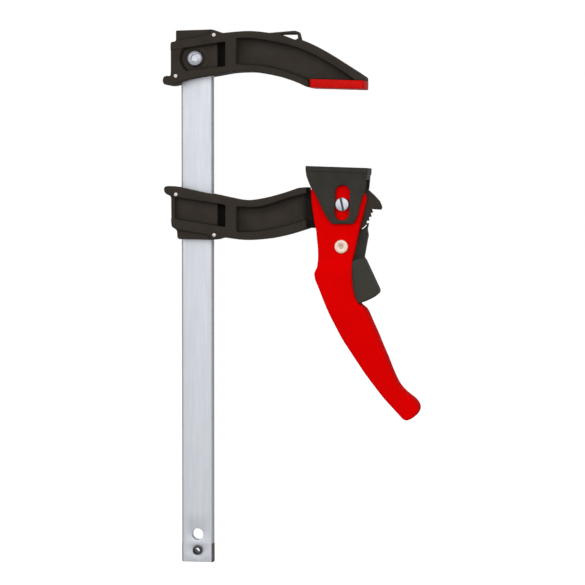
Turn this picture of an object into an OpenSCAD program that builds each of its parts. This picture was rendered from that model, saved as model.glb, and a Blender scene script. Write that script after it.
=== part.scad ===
// Quick release bar clamp: a flat steel rail, a fixed arm at its top, and a sliding arm
// whose lever lifts a pressure head with a cam and is held by a toothed sector and a pawl.
// Upright as it hangs: x runs along the arms away from the rail, z runs up the rail, and
// the front is towards -y. The origin is the centre of the fixed jaw's clamping face.

/* [Rail] */
// Width of the rail
rail_w = 20; // [16:0.5:25]
// Thickness of the rail
rail_t = 5; // [4:0.5:6]
// Length of the rail
rail_len = 325; // [250:5:600]
// Chamfer along the rail's four long edges
rail_chamfer = 1.1; // [0.5:0.1:1.5]
// Hole for the fixed arm's screw, one at each end of the rail
rail_hole_d = 7; // [6.5:0.1:8]
// From each end of the rail to that hole
rail_hole_in = 17.2; // [14:0.1:20]
// Outer diameter of the stop pin near the rail's lower end
stop_pin_d = 5.8; // [4:0.1:6]
// Wall of the rolled stop pin
stop_pin_wall = 1.1; // [0.8:0.1:1.4]
// From the rail's lower end to the stop pin
stop_pin_in = 7.4; // [6:0.1:9]
// How far the stop pin stands out of each face of the rail
stop_pin_proud = 2.4; // [1.5:0.1:3]

/* [Jaws] */
// Throat: from the rail's edge to the centre of the jaws
throat = 77; // [70:1:90]
// Toe-in of both clamping faces, in degrees
jaw_toe = 2; // [0:0.5:3]
// Length of the fixed jaw's cap
cap_len = 33.4; // [30:0.2:36]
// Height of the fixed jaw's cap
cap_h = 5; // [4:0.2:7]
// Wall of the cap round the jaw plate
cap_wall = 1.6; // [1.2:0.1:2.4]
// Thickness of the cap under the jaw plate
cap_floor = 2.2; // [1.5:0.1:3]

/* [Arms] */
// Width of the arms, front to back
arm_w = 20; // [18:0.5:24]
// Height of each arm's collar along the rail
arm_h = 33; // [30:0.5:36]
// Thickness of the arms' web
web_t = 5; // [4:0.5:7]
// Depth of the shallow panels in the front and back of the collars
panel_depth = 4; // [2:0.1:4]
// Clearance between the rail's faces and the collar
face_play = 0.3; // [0.2:0.05:0.5]
// Clearance between the rail's narrow edges and the collar
edge_play = 0.7; // [0.6:0.1:1]
// Width of the hanging loop on the fixed arm, front to back
loop_w = 10; // [6:0.5:16]
// How far the collar's outer end is set back from the arm's faces
collar_step = 1.6; // [0.5:0.1:2.5]
// Diameter of the hardened pins that bite the rail's edges
bite_pin_d = 3; // [2.5:0.1:4]
// Clearance between a bite pin and the rail's edge
bite_play = 0.35; // [0.1:0.05:0.5]
// Distance along the rail between an arm's two bite pins
bite_spacing = 24.6; // [22:0.1:26]
// How far below the pad face the sliding arm's upper corner rests
slide_drop = 58.5; // [57:0.1:70]

/* [Arm screw] */
// Thread diameter of the fixed arm's screw
screw_d = 6; // [5:1:6]
// Diameter of its button head
screw_head_d = 10.5; // [9:0.1:11]
// Height of its button head
screw_head_h = 3.3; // [2.7:0.1:3.5]
// Hexagon socket across flats
screw_socket = 4; // [3:0.5:4]
// Length of its shank
screw_len = 16; // [14:1:18]
// Diameter of the round boss under the screw head
screw_boss_d = 16.6; // [15:0.2:18]
// Nut across flats
nut_flats = 10; // [8:0.5:10]
// Height of the nut
nut_h = 5; // [4:0.1:5.2]

/* [Lever] */
// From the jaw's centre line to the lever's pivot
pivot_out = 3.4; // [1:0.1:5]
// How far the pivot lies from the sliding arm's upper corner, along the rail
pivot_drop = 11.1; // [10:0.1:12]
// Lift of the pressure head for each radian of lever swing
cam_lead = 12; // [9:0.5:12.5]
// Height of the cam face above the pivot at rest
cam_h = 14.1; // [13.5:0.1:14.5]
// Lever swing from rest to closed, in degrees
close_deg = 18; // [9:1:18]
// Lever swing from rest to open, in degrees
open_deg = 27; // [18:1:27]
// Thickness of each of the lever's cheeks
cheek_t = 3; // [2.5:0.1:3.2]
// Space between the lever's cheeks
cheek_gap = 8; // [7.6:0.1:9]
// From the pivot down to where the cheeks meet the handle
fork_drop = 31.4; // [30:0.2:33]
// Length of the handle below the fork
handle_len = 98; // [85:1:115]
// Width of the handle, front to back
handle_w = 17; // [16:0.5:19]
// Wall of the handle beside the trigger
handle_wall = 2; // [1.8:0.1:2.4]
// Width of the groove in the handle's inner side
groove_w = 9; // [6:0.5:10]
// Depth of that groove
groove_depth = 8; // [4:0.5:9]

/* [Pivot and rivet] */
// Diameter of the pivot's shank
pivot_d = 6; // [5:0.5:6]
// Diameter of the pivot's heads, which guide the pressure head
pivot_head_d = 8.2; // [7.5:0.1:9]
// Width of the screwdriver slot in the pivot's ends
pivot_slot_w = 1.2; // [0.8:0.1:1.6]
// Diameter of the pawl rivet's shank
rivet_d = 4; // [3:0.5:5]
// Diameter of the pawl rivet's flat heads
rivet_head_d = 8.3; // [7:0.1:9]
// Thickness of the rivet's heads
rivet_head_t = 1.4; // [1:0.1:2]
// Running clearance of shafts in their bores, on the radius
run_play = 0.05; // [0.02:0.01:0.1]

/* [Pressure head] */
// Width of the head's slot
slot_w = 8.8; // [8.4:0.1:9.5]
// From the pivot up to the slot's upper end, at rest
slot_up = 11.6; // [11:0.1:13]
// From the pivot down to the slot's lower end, at rest
slot_down = 9.7; // [9.2:0.1:11]
// From the pivot up to the head's clamping face, at rest
head_h = 22.3; // [22:0.1:24]
// Length of the head's clamping face
head_len = 37.6; // [36:0.2:40]
// Thickness of the head's top wall
head_top = 4.2; // [3.5:0.1:4.3]
// How far the head's outer end wall reaches below its face
end_wall_h = 7; // [4.5:0.1:7.2]
// Thickness of the head's side plates
plate_t = 2.6; // [2:0.1:2.6]

/* [Ratchet] */
// Radius over the sector's tooth tips
tip_r = 18; // [17.5:0.1:18]
// Radius at the roots of the teeth
root_r = 16.6; // [16:0.1:17]
// Angle from one tooth to the next, in degrees
tooth_deg = 9; // [9:9:9]
// Thickness of the arm's tongue that carries the sector
tongue_t = 7; // [6:0.1:7.4]
// Thickness of the pawl
pawl_t = 6; // [5:0.1:7]
// Turn of the pawl from rest into the teeth, in degrees
pawl_in_deg = 2.6; // [2.6:0.1:3]
// From the lever's pivot down to the pawl's rivet
rivet_drop = 25.4; // [25:0.1:26]
// From the lever's pivot back to the pawl's rivet
rivet_back = 0.7; // [0:0.1:1.5]
// Width of the release trigger, front to back
trigger_w = 12.4; // [10:0.1:12.6]
// Radius of the trigger's lower end about the rivet
trigger_r = 35.9; // [34:0.1:37]
// Wire diameter of the pawl's spring
wire_d = 0.9; // [0.6:0.1:1]
// Turns of the pawl's spring
spring_turns = 2.25; // [1.25:1:2.25]

/* [Hidden] */

$fn = 48;
steel = [0.72, 0.73, 0.76];
casting = [0.19, 0.17, 0.16];
red = [0.78, 0.02, 0.02];
dark = [0.2, 0.2, 0.19];
ivory = [0.88, 0.82, 0.7];

// Overrun of cuts past the faces that they open
cut = 1;
// Gap between pieces that rest against each other or run close
seat_gap = 0.05;

rail_x = -(throat + rail_w / 2);
jaw_x = throat + rail_w / 2;
half_w = arm_w / 2;

// The fixed arm's corner nearest the rail's end lies this far above the pad face
ear_rise_share = 0.091;
ear_z = arm_h * ear_rise_share;
rail_top = ear_z + arm_h;
rail_bottom = rail_top - rail_len;
screw_z = rail_top - rail_hole_in;
// Half the arm's thickness over the boss under the screw head
boss_share = 0.72;
boss_y = boss_share * half_w;

bite_x = rail_w / 2 + bite_pin_d / 2 + bite_play;
// Height of the bite pin nearest the throat, as a share of the collar's height
bite_low_share = 0.156;
bite_low = arm_h * bite_low_share;
bite_high = bite_low + bite_spacing;
pin_share = 0.93;
pin_len = pin_share * arm_w;

pivot_x = jaw_x + pivot_out;
cheek_in = cheek_gap / 2;
cheek_out = cheek_in + cheek_t;
plate_in = half_w - plate_t;
rivet = [-rivet_back, -rivet_drop];
// Radius that keeps clear of the lever's upper corner as the lever opens
arm_end_share = 1.589;
arm_end_r = arm_end_share * cam_h;
arm_end_x = pivot_x - arm_end_r;

// Turns a point clockwise, as the front shows it
function turn(p, a) = [p[0] * cos(a) + p[1] * sin(a), p[1] * cos(a) - p[0] * sin(a)];
function turn_about(p, c, a) = c + turn(p - c, a);
function polar(r, a) = [r * cos(a), r * sin(a)];
function scaled(shares, sx, sz) = [for (s = shares) [s[0] * sx, s[1] * sz]];
function arc(c, r, a0, a1, n) = [for (i = [0:n]) c + polar(r, a0 + (a1 - a0) * i / n)];

// A smooth curve through the points, with so many steps in each span
function blend(a, b, c, d, t) = ((2 * b) + (c - a) * t + (2 * a - 5 * b + 4 * c - d) * t * t
    + (3 * b - a - 3 * c + d) * t * t * t) / 2;
function pick(p, i) = p[max(0, min(len(p) - 1, i))];
function smooth(p, n) = concat([for (i = [0:len(p) - 2], k = [0:n - 1])
    blend(pick(p, i - 1), p[i], p[i + 1], pick(p, i + 2), k / n)], [p[len(p) - 1]]);
function reversed(p) = [for (i = [len(p) - 1:-1:0]) p[i]];
// Moves a line of points sideways, to the left of its direction
function side(p, i) = let (d = pick(p, i + 1) - pick(p, i - 1)) [-d[1], d[0]] / norm(d);
function inset(p, t) = [for (i = [0:len(p) - 1]) p[i] + side(p, i) * t];

// A plate with the outline in x and z, from y0 to y1
module slab(y0, y1) {
    translate([0, y1, 0]) rotate([90, 0, 0]) linear_extrude(height = y1 - y0) children();
}
module pair(y0, y1) {
    slab(y0, y1) children();
    slab(-y1, -y0) children();
}
// A round bar along y
module bar(x, z, r, y0, y1, sides = 48) {
    translate([x, y0, z]) rotate([-90, 0, 0]) cylinder(r = r, h = y1 - y0, $fn = sides);
}
module at_rail() {
    translate([rail_x, 0, 0]) children();
}
// The sliding arm is the fixed arm's casting turned over, at its rest height
module at_slide() {
    translate([rail_x, 0, -slide_drop]) mirror([0, 0, 1]) children();
}
module at_pivot() {
    translate([rail_x + pivot_x, 0, -slide_drop - pivot_drop]) children();
}

// Rail: a flat bar with chamfered edges, a screw hole at each end and the stop pin's hole
module rail() {
    a = rail_w / 2;
    b = rail_t / 2;
    c = rail_chamfer;
    color(steel) at_rail() difference() {
        translate([0, 0, rail_bottom]) linear_extrude(height = rail_len)
            polygon([[-a + c, -b], [a - c, -b], [a, -b + c], [a, b - c],
                [a - c, b], [-a + c, b], [-a, b - c], [-a, -b + c]]);
        for (z = [rail_bottom + rail_hole_in, rail_top - rail_hole_in])
            bar(0, z, rail_hole_d / 2, -b - cut, b + cut);
        bar(0, rail_bottom + stop_pin_in, stop_pin_d / 2, -b - cut, b + cut);
    }
}

// Rolled stop pin that keeps the sliding arm on the rail
module rail_stop_pin() {
    y = rail_t / 2 + stop_pin_proud;
    r = stop_pin_d / 2;
    color(dark) at_rail() translate([0, 0, rail_bottom + stop_pin_in]) difference() {
        bar(0, 0, r - seat_gap / 2, -y, y);
        bar(0, 0, r - stop_pin_wall, -y - cut, y + cut);
        translate([-r - cut, -y - cut, -seat_gap * 4])
            cube([r + cut - r / 2, 2 * y + 2 * cut, seat_gap * 8]);
    }
}

// Outlines of the arms: x in shares of the jaw's distance from the rail's centre, height in
// shares of the collar's height, counted from the corner nearest the throat
fixed_ear_shares = [[-0.171, 0.158], [-0.207, 0.158], [-0.223, 0.133], [-0.228, 0.055], [-0.217, 0]];
fixed_wall_shares = [[0.093, 1.003], [-0.136, 0.99], [-0.136, 0.788], [-0.162, 0.782], [-0.171, 0.758]];
sliding_ear_shares = [[-0.163, 0.227], [-0.169, 0.185], [-0.202, 0.152], [-0.217, 0.112], [-0.22, 0.048],
    [-0.213, 0.015]];
sliding_wall_shares = [[0.11, 0.991], [-0.115, 0.982], [-0.128, 0.955], [-0.131, 0.833], [-0.136, 0.797],
    [-0.156, 0.748], [-0.16, 0.664]];
fixed_throat_shares = [[-0.198, -0.009], [-0.156, 0], [-0.075, 0.07], [0.016, 0.121], [0.141, 0.173],
    [0.254, 0.221], [0.351, 0.233], [0.433, 0.221], [0.575, 0.145], [0.705, 0.036], [0.787, -0.061]];
fixed_back_shares = [[0.199, 0.933], [0.376, 0.964], [0.517, 0.93], [0.643, 0.867],
    [0.763, 0.785], [0.902, 0.6], [1.041, 0.373], [1.175, 0.145], [1.19, 0.103]];
fixed_pocket_low_shares = [[0.295, 0.355], [0.464, 0.327], [0.619, 0.236], [0.722, 0.139], [0.799, 0.067]];
fixed_pocket_high_shares = [[0.295, 0.839], [0.413, 0.836], [0.567, 0.764], [0.722, 0.661],
    [0.876, 0.479], [1.029, 0.239], [1.113, 0.085]];
sliding_throat_shares = [[-0.193, 0], [-0.092, 0.036], [0.016, 0.097], [0.134, 0.158], [0.229, 0.212],
    [0.311, 0.252], [0.382, 0.258], [0.453, 0.239], [0.546, 0.188], [0.64, 0.118], [0.733, 0.036]];
sliding_back_shares = [[0.213, 0.948], [0.355, 0.991], [0.497, 0.973], [0.637, 0.9], [0.774, 0.79]];
sliding_pocket_low_shares = [[0.295, 0.376], [0.435, 0.382], [0.536, 0.324], [0.657, 0.218], [0.779, 0.135]];
sliding_pocket_high_shares = [[0.295, 0.85], [0.435, 0.84], [0.556, 0.785], [0.657, 0.724], [0.779, 0.63]];
shoulder_shares = [[0.163, 0.967], [0.128, 0.994]];
fixed_panel_shares = [[-0.099, 0.233], [0.215, 0.324], [0.215, 0.779], [-0.099, 0.658]];
sliding_panel_shares = [[-0.142, 0.197], [0.215, 0.348], [0.215, 0.758], [-0.142, 0.615]];
deep_shares = [[0.16, 0.335], [0.215, 0.35], [0.215, 0.772], [0.16, 0.755]];
step_shares = [[-0.152, 0.795], [0.086, 0.89], [0.086, 1.1], [-0.152, 1.1]];
loop_shares = [[0.517, 0.925], [0.7, 0.97], [0.722, 0.95], [0.735, 0.8], [0.637, 0.84]];
loop_hole_shares = [[0.6, 0.91], [0.716, 0.905], [0.721, 0.825], [0.709, 0.82]];

function arm_points(shares) = scaled(shares, jaw_x, arm_h);

// The rail's way through a collar, the bite pins' holes and the deep pockets
module collar_cuts(panel) {
    translate([-rail_w / 2 - edge_play, -rail_t / 2 - face_play, -arm_h])
        cube([rail_w + 2 * edge_play, rail_t + 2 * face_play, 3 * arm_h]);
    bar(-bite_x, bite_low, bite_pin_d / 2 + seat_gap / 2, -half_w - cut, half_w + cut);
    bar(bite_x, bite_high, bite_pin_d / 2 + seat_gap / 2, -half_w - cut, half_w + cut);
    pair(half_w - panel_depth, half_w + cut) polygon(arm_points(panel));
    pair(web_t / 2, half_w + cut) polygon(arm_points(deep_shares));
    pair(half_w - collar_step, half_w + cut) polygon(arm_points(step_shares));
}

// Jaw plate under the fixed arm's tip, which the cap fits over
plate_len = cap_len - 2 * cap_wall - 2 * seat_gap;
plate_w = arm_w - 2 * cap_wall - 2 * seat_gap;

// Fixed arm: an I-shaped light-metal casting with a collar, a loop and the jaw plate
module fixed_arm() {
    seat_left = jaw_x - cap_len / 2 - seat_gap * 2;
    seat_z = cap_h + seat_gap;
    function seat(x) = [x, seat_z - ear_z - (x - jaw_x) * tan(jaw_toe)];
    low = smooth(arm_points(fixed_throat_shares), 4);
    high = smooth(arm_points(fixed_back_shares), 4);
    outline = concat(low, [[seat_left, low[len(low) - 1][1] - seat_gap * 6], seat(seat_left),
        seat(jaw_x + cap_len / 2)], reversed(high), arm_points(shoulder_shares),
        arm_points(fixed_wall_shares), arm_points(fixed_ear_shares));
    pocket = concat(smooth(arm_points(fixed_pocket_low_shares), 3),
        reversed(smooth(arm_points(fixed_pocket_high_shares), 3)));
    color(casting) at_rail() {
        translate([0, 0, ear_z]) difference() {
            union() {
                difference() {
                    slab(-half_w, half_w) polygon(outline);
                    collar_cuts(fixed_panel_shares);
                    pair(web_t / 2, half_w + cut) polygon(pocket);
                }
                pair(rail_t, boss_y) translate([0, screw_z - ear_z]) circle(d = screw_boss_d);
                difference() {
                    slab(-loop_w / 2, loop_w / 2) polygon(arm_points(loop_shares));
                    slab(-half_w - cut, half_w + cut) polygon(arm_points(loop_hole_shares));
                }
            }
            bar(0, screw_z - ear_z, screw_d / 2 + 4 * seat_gap, -half_w - cut, half_w + cut);
            translate([0, boss_y - nut_h / 2, screw_z - ear_z]) rotate([-90, 0, 0])
                rotate([0, 0, 30]) cylinder(d = (nut_flats + 4 * seat_gap) / cos(30),
                    h = nut_h, $fn = 6);
        }
        // The plate overlaps the web above it and ends inside the cap
        translate([jaw_x, 0, 0]) rotate([0, jaw_toe, 0])
            translate([-plate_len / 2, -plate_w / 2, cap_floor + seat_gap])
                cube([plate_len, plate_w, cap_h - cap_floor + seat_gap]);
    }
}

// Button-head screw through the fixed arm and the rail
module fixed_arm_screw() {
    y = -boss_y - seat_gap;
    dome_r = (screw_head_d * screw_head_d / 4 + screw_head_h * screw_head_h) / (2 * screw_head_h);
    color(steel) at_rail() translate([0, y, screw_z]) rotate([90, 0, 0]) difference() {
        union() {
            intersection() {
                translate([0, 0, screw_head_h - dome_r]) sphere(r = dome_r);
                cylinder(d = screw_head_d, h = screw_head_h);
            }
            translate([0, 0, -screw_len]) cylinder(d = screw_d, h = screw_len + seat_gap);
        }
        translate([0, 0, screw_head_h / 2])
            cylinder(d = screw_socket / cos(30), h = screw_head_h, $fn = 6);
    }
}

// Hexagon nut in the pocket at the back of the fixed arm
module fixed_arm_nut() {
    y = boss_y - nut_h / 2 + seat_gap;
    color(steel) at_rail() translate([0, y, screw_z]) rotate([-90, 0, 0]) difference() {
        rotate([0, 0, 30]) cylinder(d = nut_flats / cos(30), h = nut_h, $fn = 6);
        translate([0, 0, -cut]) cylinder(d = screw_d + seat_gap * 2, h = nut_h + 2 * cut);
    }
}

module bite_pin(x, z) {
    color(steel) bar(x, z, bite_pin_d / 2, -pin_len / 2, pin_len / 2);
}
module fixed_lower_pin() {
    at_rail() translate([0, 0, ear_z]) bite_pin(-bite_x, bite_low);
}
module fixed_upper_pin() {
    at_rail() translate([0, 0, ear_z]) bite_pin(bite_x, bite_high);
}
module sliding_upper_pin() {
    at_slide() bite_pin(-bite_x, bite_low);
}
module sliding_lower_pin() {
    at_slide() bite_pin(bite_x, bite_high);
}

// Cap of the fixed jaw: a shallow box over the jaw plate; its lower face clamps
module fixed_jaw_cap() {
    color(red) rotate([0, jaw_toe, 0]) difference() {
        translate([-cap_len / 2, -half_w, 0]) cube([cap_len, arm_w, cap_h]);
        translate([-cap_len / 2 + cap_wall, -half_w + cap_wall, cap_floor])
            cube([cap_len - 2 * cap_wall, arm_w - 2 * cap_wall, cap_h]);
    }
}

// Toothed sector, seen from the pivot: each tooth has a steep side and a long slope
first_tip_deg = -15.5;
steep_deg = 3.3;
tooth_count = 6;
last_tip_deg = first_tip_deg - (tooth_count - 1) * tooth_deg;
hook_shares = [[0.79, 0.5], [1.02, 0.29], [1.19, 0.106], [1.27, -0.09], [1.245, -0.18]];
function teeth() = [for (i = [0:tooth_count - 1]) let (a = first_tip_deg - i * tooth_deg)
    each [polar(root_r, a + tooth_deg - steep_deg), polar(tip_r, a)]];

// Tongue: the thin end of the sliding arm, with the pivot's bore, the sector and its hook.
// Its outline is drawn as the front shows it, about the pivot.
tongue_top_share = 0.4;
module tongue_outline() {
    top = tip_r * tongue_top_share;
    low = arm_h * 0.785 - pivot_drop;
    left = -arm_end_r - web_t;
    polygon(concat([[left, -low + web_t / 2], [left, top]],
        [[tip_r * 0.5, top]], scaled(hook_shares, tip_r, tip_r), teeth(),
        arc([0, 0], root_r, last_tip_deg - steep_deg, -118, 8), [[-arm_end_r, -low + web_t / 4]]));
}

// Sliding arm: the same collar, with the beam that ends in the tongue
module sliding_arm() {
    low = smooth(arm_points(sliding_throat_shares), 4);
    high = smooth(arm_points(sliding_back_shares), 4);
    outline = concat(low, [[arm_end_x, low[len(low) - 1][1] - seat_gap * 10],
        [arm_end_x, high[len(high) - 1][1] - seat_gap * 4]],
        reversed(high), arm_points(shoulder_shares), arm_points(sliding_wall_shares),
        arm_points(sliding_ear_shares));
    pocket_low = smooth(arm_points(sliding_pocket_low_shares), 3);
    pocket_high = smooth(arm_points(sliding_pocket_high_shares), 3);
    pocket = concat(pocket_low, [[arm_end_x + cut, pocket_low[len(pocket_low) - 1][1]],
        [arm_end_x + cut, pocket_high[len(pocket_high) - 1][1]]], reversed(pocket_high));
    color(casting) {
        at_slide() difference() {
            slab(-half_w, half_w) polygon(outline);
            collar_cuts(sliding_panel_shares);
            pair(web_t / 2, half_w + cut) polygon(pocket);
        }
        at_pivot() difference() {
            slab(-tongue_t / 2, tongue_t / 2) tongue_outline();
            bar(0, 0, pivot_d / 2 + run_play, -arm_w, arm_w);
        }
    }
}

// Outline of the pressure head about the pivot, square to its own travel
head_left = head_len * 0.612;
head_left_shares = [[-1, 0.92], [-0.978, 0.758], [-0.922, 0.6], [-0.85, 0.44], [-0.77, 0.336],
    [-0.66, 0.126], [-0.552, -0.092], [-0.43, -0.303], [-0.278, -0.511], [-0.196, -0.538]];
head_right_shares = [[0.222, -0.52], [0.326, -0.487], [0.417, -0.269], [0.463, -0.049],
    [0.513, 0.166], [0.587, 0.408], [0.613, 0.812]];
module head_outline() {
    lip = head_len - head_left;
    polygon(concat([[-head_left, head_h]], scaled(head_left_shares, head_left, head_h),
        scaled(head_right_shares, head_left, head_h),
        [[lip, head_h * 0.812], [lip, head_h]]));
}

// Pressure head: top wall, cam pad and two slotted side plates that slide on the pivot
module pressure_head() {
    pad_right = -(cam_lead - 2);
    color(dark) at_pivot() rotate([0, jaw_toe, 0]) {
        pair(plate_in, half_w) difference() {
            head_outline();
            translate([-slot_w / 2, slot_w / 2 - slot_down])
                square([slot_w, slot_up + slot_down - slot_w]);
            translate([0, slot_w / 2 - slot_down]) circle(d = slot_w);
            translate([0, slot_up - slot_w / 2]) circle(d = slot_w);
        }
        intersection() {
            slab(-half_w, half_w) head_outline();
            union() {
                translate([-head_len, -half_w, head_h - head_top]) cube([2 * head_len, arm_w, head_top]);
                translate([-head_len, -half_w, cam_h + seat_gap * 3])
                    cube([head_len + pad_right, arm_w, head_h - cam_h]);
                translate([head_len - head_left - plate_t, -half_w, head_h - end_wall_h])
                    cube([head_len, arm_w, end_wall_h]);
            }
        }
    }
}

// A point of the lever's cam, which lifts a flat face by the same amount for each degree:
// the involute of a circle with the cam's lead as its radius
function cam_point(a) = turn(turn([-cam_lead, cam_h + cam_lead * a * PI / 180], -a), jaw_toe);
cam_steps = 12;
cheek_top_r = cam_h * 0.858;
cheek_left_shares = [[-0.585, 0.344], [-0.623, 0.255], [-0.615, 0.105], [-0.6, -0.05], [-0.575, -0.204],
    [-0.555, -0.357], [-0.52, -0.51], [-0.505, -0.665], [-0.488, -0.82], [-0.484, -1.02]];
cheek_right_shares = [[0.428, 0.214], [0.455, 0.1], [0.425, -0.05], [0.385, -0.204],
    [0.344, -0.357], [0.312, -0.51], [0.277, -0.662], [0.248, -0.815], [0.2, -1.02]];

// Handle below the fork. Its mouth round the trigger follows the trigger's radius about the
// rivet, and the grip below it follows the handle's length.
grip_share = 1.25;
mouth_left_shares = [[-0.423, -0.841], [-0.423, -0.917], [-0.434, -1.054], [-0.483, -1.152],
    [-0.47, -1.256]];
mouth_right_shares = [[0.186, -0.841], [0.169, -0.914], [0.153, -1.048], [0.153, -1.147],
    [0.156, -1.248]];
grip_left_shares = [[-0.142, -0.075], [-0.113, -0.148], [-0.08, -0.222], [-0.042, -0.295],
    [-0.002, -0.369], [0.045, -0.441], [0.094, -0.514], [0.144, -0.587],
    [0.199, -0.659], [0.257, -0.732], [0.324, -0.804], [0.378, -0.862]];
grip_right_shares = [[0.067, -0.073], [0.077, -0.109], [0.1, -0.154], [0.139, -0.189],
    [0.173, -0.262], [0.207, -0.336], [0.237, -0.409], [0.269, -0.482],
    [0.298, -0.556], [0.332, -0.629], [0.357, -0.666], [0.393, -0.702],
    [0.441, -0.739], [0.466, -0.775], [0.466, -0.812], [0.438, -0.849],
    [0.4, -0.867]];

function grip(shares) = [for (p = shares) p * handle_len - [0, grip_share * trigger_r]];

// Wall along the handle's inner edge, in shares of the wall beside the trigger
web_share = 1.75;

// Lever: two cheeks with the cam, joined below the fork by a web and the handle
module lever() {
    fork_left = scaled(cheek_left_shares, fork_drop, fork_drop);
    fork_right = scaled(cheek_right_shares, fork_drop, fork_drop);
    cam = [for (i = [0:cam_steps]) cam_point(close_deg - (close_deg + open_deg) * i / cam_steps)];
    cheek = concat(reversed(fork_left), cam, arc([0, 0], cheek_top_r, 112, 55, 6), fork_right);
    handle_left = concat(scaled(mouth_left_shares, trigger_r, trigger_r), grip(grip_left_shares));
    handle = concat(reversed(handle_left), scaled(mouth_right_shares, trigger_r, trigger_r),
        grip(grip_right_shares));
    wall = inset(handle_left, web_share * handle_wall);
    pocket_top = 1.05 * fork_drop;
    throat_top = 0.9 * fork_drop;
    pocket = concat([[wall[2][0], -pocket_top]], [for (i = [2:5]) wall[i]],
        arc(rivet, trigger_r + seat_gap * 8, -104, -62, 10), [[trigger_r, -pocket_top]]);
    // A narrower way up from the trigger's pocket to the space between the cheeks
    way = [[wall[2][0], -throat_top], [wall[2][0], -pocket_top - cut],
        [trigger_r, -pocket_top - cut], [trigger_r, -throat_top]];
    groove = concat([for (i = [8:15]) inset(handle_left, groove_depth)[i]],
        [for (i = [15:-1:8]) inset(handle_left, -cut)[i]]);
    color(red) at_pivot() difference() {
        union() {
            pair(cheek_in, cheek_out) polygon(cheek);
            slab(-cheek_in - seat_gap, cheek_in + seat_gap)
                polygon(concat([for (i = [7:9]) fork_left[i]],
                    [for (i = [9:-1:7]) fork_left[i] + [web_share * handle_wall, 0]]));
            difference() {
                slab(-handle_w / 2, handle_w / 2) polygon(handle);
                slab(-handle_w / 2 + handle_wall, handle_w / 2 - handle_wall) polygon(pocket);
                slab(-cheek_in, cheek_in) polygon(way);
                slab(-groove_w / 2, groove_w / 2) polygon(groove);
            }
        }
        bar(0, 0, pivot_d / 2 + run_play, -arm_w, arm_w);
        bar(rivet[0], rivet[1], rivet_d / 2 + seat_gap / 2, -arm_w, arm_w);
    }
}

thread_share = 0.83;
thread_r = thread_share * pivot_d / 2;

// Slotted pivot bolt: its head and the nut's are round and guide the pressure head
module pivot_bolt() {
    y = cheek_out + seat_gap;
    color(steel) at_pivot() difference() {
        union() {
            bar(0, 0, pivot_head_d / 2, -half_w, -y);
            bar(0, 0, pivot_d / 2, -y - seat_gap, y - seat_gap);
            bar(0, 0, thread_r, 0, half_w - pivot_slot_w);
        }
        translate([-pivot_slot_w / 2, -half_w - cut, -pivot_head_d])
            cube([pivot_slot_w, cut + pivot_slot_w, 2 * pivot_head_d]);
    }
}

// Round nut on the bolt's far end
module pivot_nut() {
    color(steel) at_pivot() difference() {
        bar(0, 0, pivot_head_d / 2, cheek_out + seat_gap, half_w);
        bar(0, 0, thread_r + seat_gap, 0, arm_w);
    }
}

// The pawl is drawn in a tooth gap and then swung out to its rest place. Its nose is given
// by radius, in shares of the teeth's, and by angle from the bottom of the gap.
gap_deg = first_tip_deg - 2 * tooth_deg - steep_deg;
nose_shares = [[1.033, -25], [1.011, -13], [1.011, -5.8], [0.953, -1.4], [0.983, 0.4], [1.022, -0.8]];
function in_gap(s) = polar(tip_r * s[0], gap_deg + s[1]);
pawl_right_shares = [[0.778, -0.828], [0.811, -1.033], [0.794, -1.133], [0.756, -1.333],
    [0.722, -1.539], [0.683, -1.75]];
tail_shares = [[0.78, -2.06], [0.76, -2.6], [0.5, -2.65], [0.36, -2.2], [0.2, -1.83]];
module pawl_outline() {
    nose = [for (n = nose_shares) turn_about(in_gap(n), rivet, pawl_in_deg)];
    polygon(concat(arc(rivet, rivet_d * 1.5, 250, 60, 10), nose,
        scaled(pawl_right_shares, tip_r, tip_r), scaled(tail_shares, tip_r, tip_r)));
}

// Pawl: a steel plate that turns on the rivet, with room on one side for the spring
module pawl() {
    color(dark) at_pivot() difference() {
        slab(-pawl_t / 2, pawl_t / 2) pawl_outline();
        bar(rivet[0], rivet[1], rivet_d / 2 + run_play, -arm_w, arm_w);
        bar(rivet[0], rivet[1], rivet_d * 1.5 + cut / 2, 0, arm_w);
    }
}

// Release trigger: a block pressed onto the pawl's tail
trigger_shares = [[0.655, -1.78], [0.725, -1.85], [1.2, -2.861], [1.189, -2.96]];
module release_trigger() {
    color(dark) at_pivot() difference() {
        slab(-trigger_w / 2, trigger_w / 2) polygon(concat(scaled(trigger_shares, tip_r, tip_r),
            arc(rivet, trigger_r, -56.4, -87, 8), scaled([[0.1, -1.95]], tip_r, tip_r)));
        slab(-pawl_t / 2 - seat_gap / 2, pawl_t / 2 + seat_gap / 2)
            polygon(concat(inset(concat(scaled([[0.683, -1.7]], tip_r, tip_r), scaled(tail_shares, tip_r, tip_r)),
                seat_gap), [[-tip_r, -tip_r * 1.7]]));
    }
}

// Rivet that carries the pawl, with a flat head on each side of the lever
module pawl_rivet() {
    y = cheek_out + seat_gap;
    color(ivory) at_pivot() difference() {
        union() {
            bar(rivet[0], rivet[1], rivet_d / 2, -y - seat_gap, y + seat_gap);
            bar(rivet[0], rivet[1], rivet_head_d / 2, -y - rivet_head_t, -y);
            bar(rivet[0], rivet[1], rivet_head_d / 2, y, y + rivet_head_t);
        }
        bar(rivet[0], rivet[1], rivet_head_d / 8, -y - rivet_head_t - cut, -y);
    }
}

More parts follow.
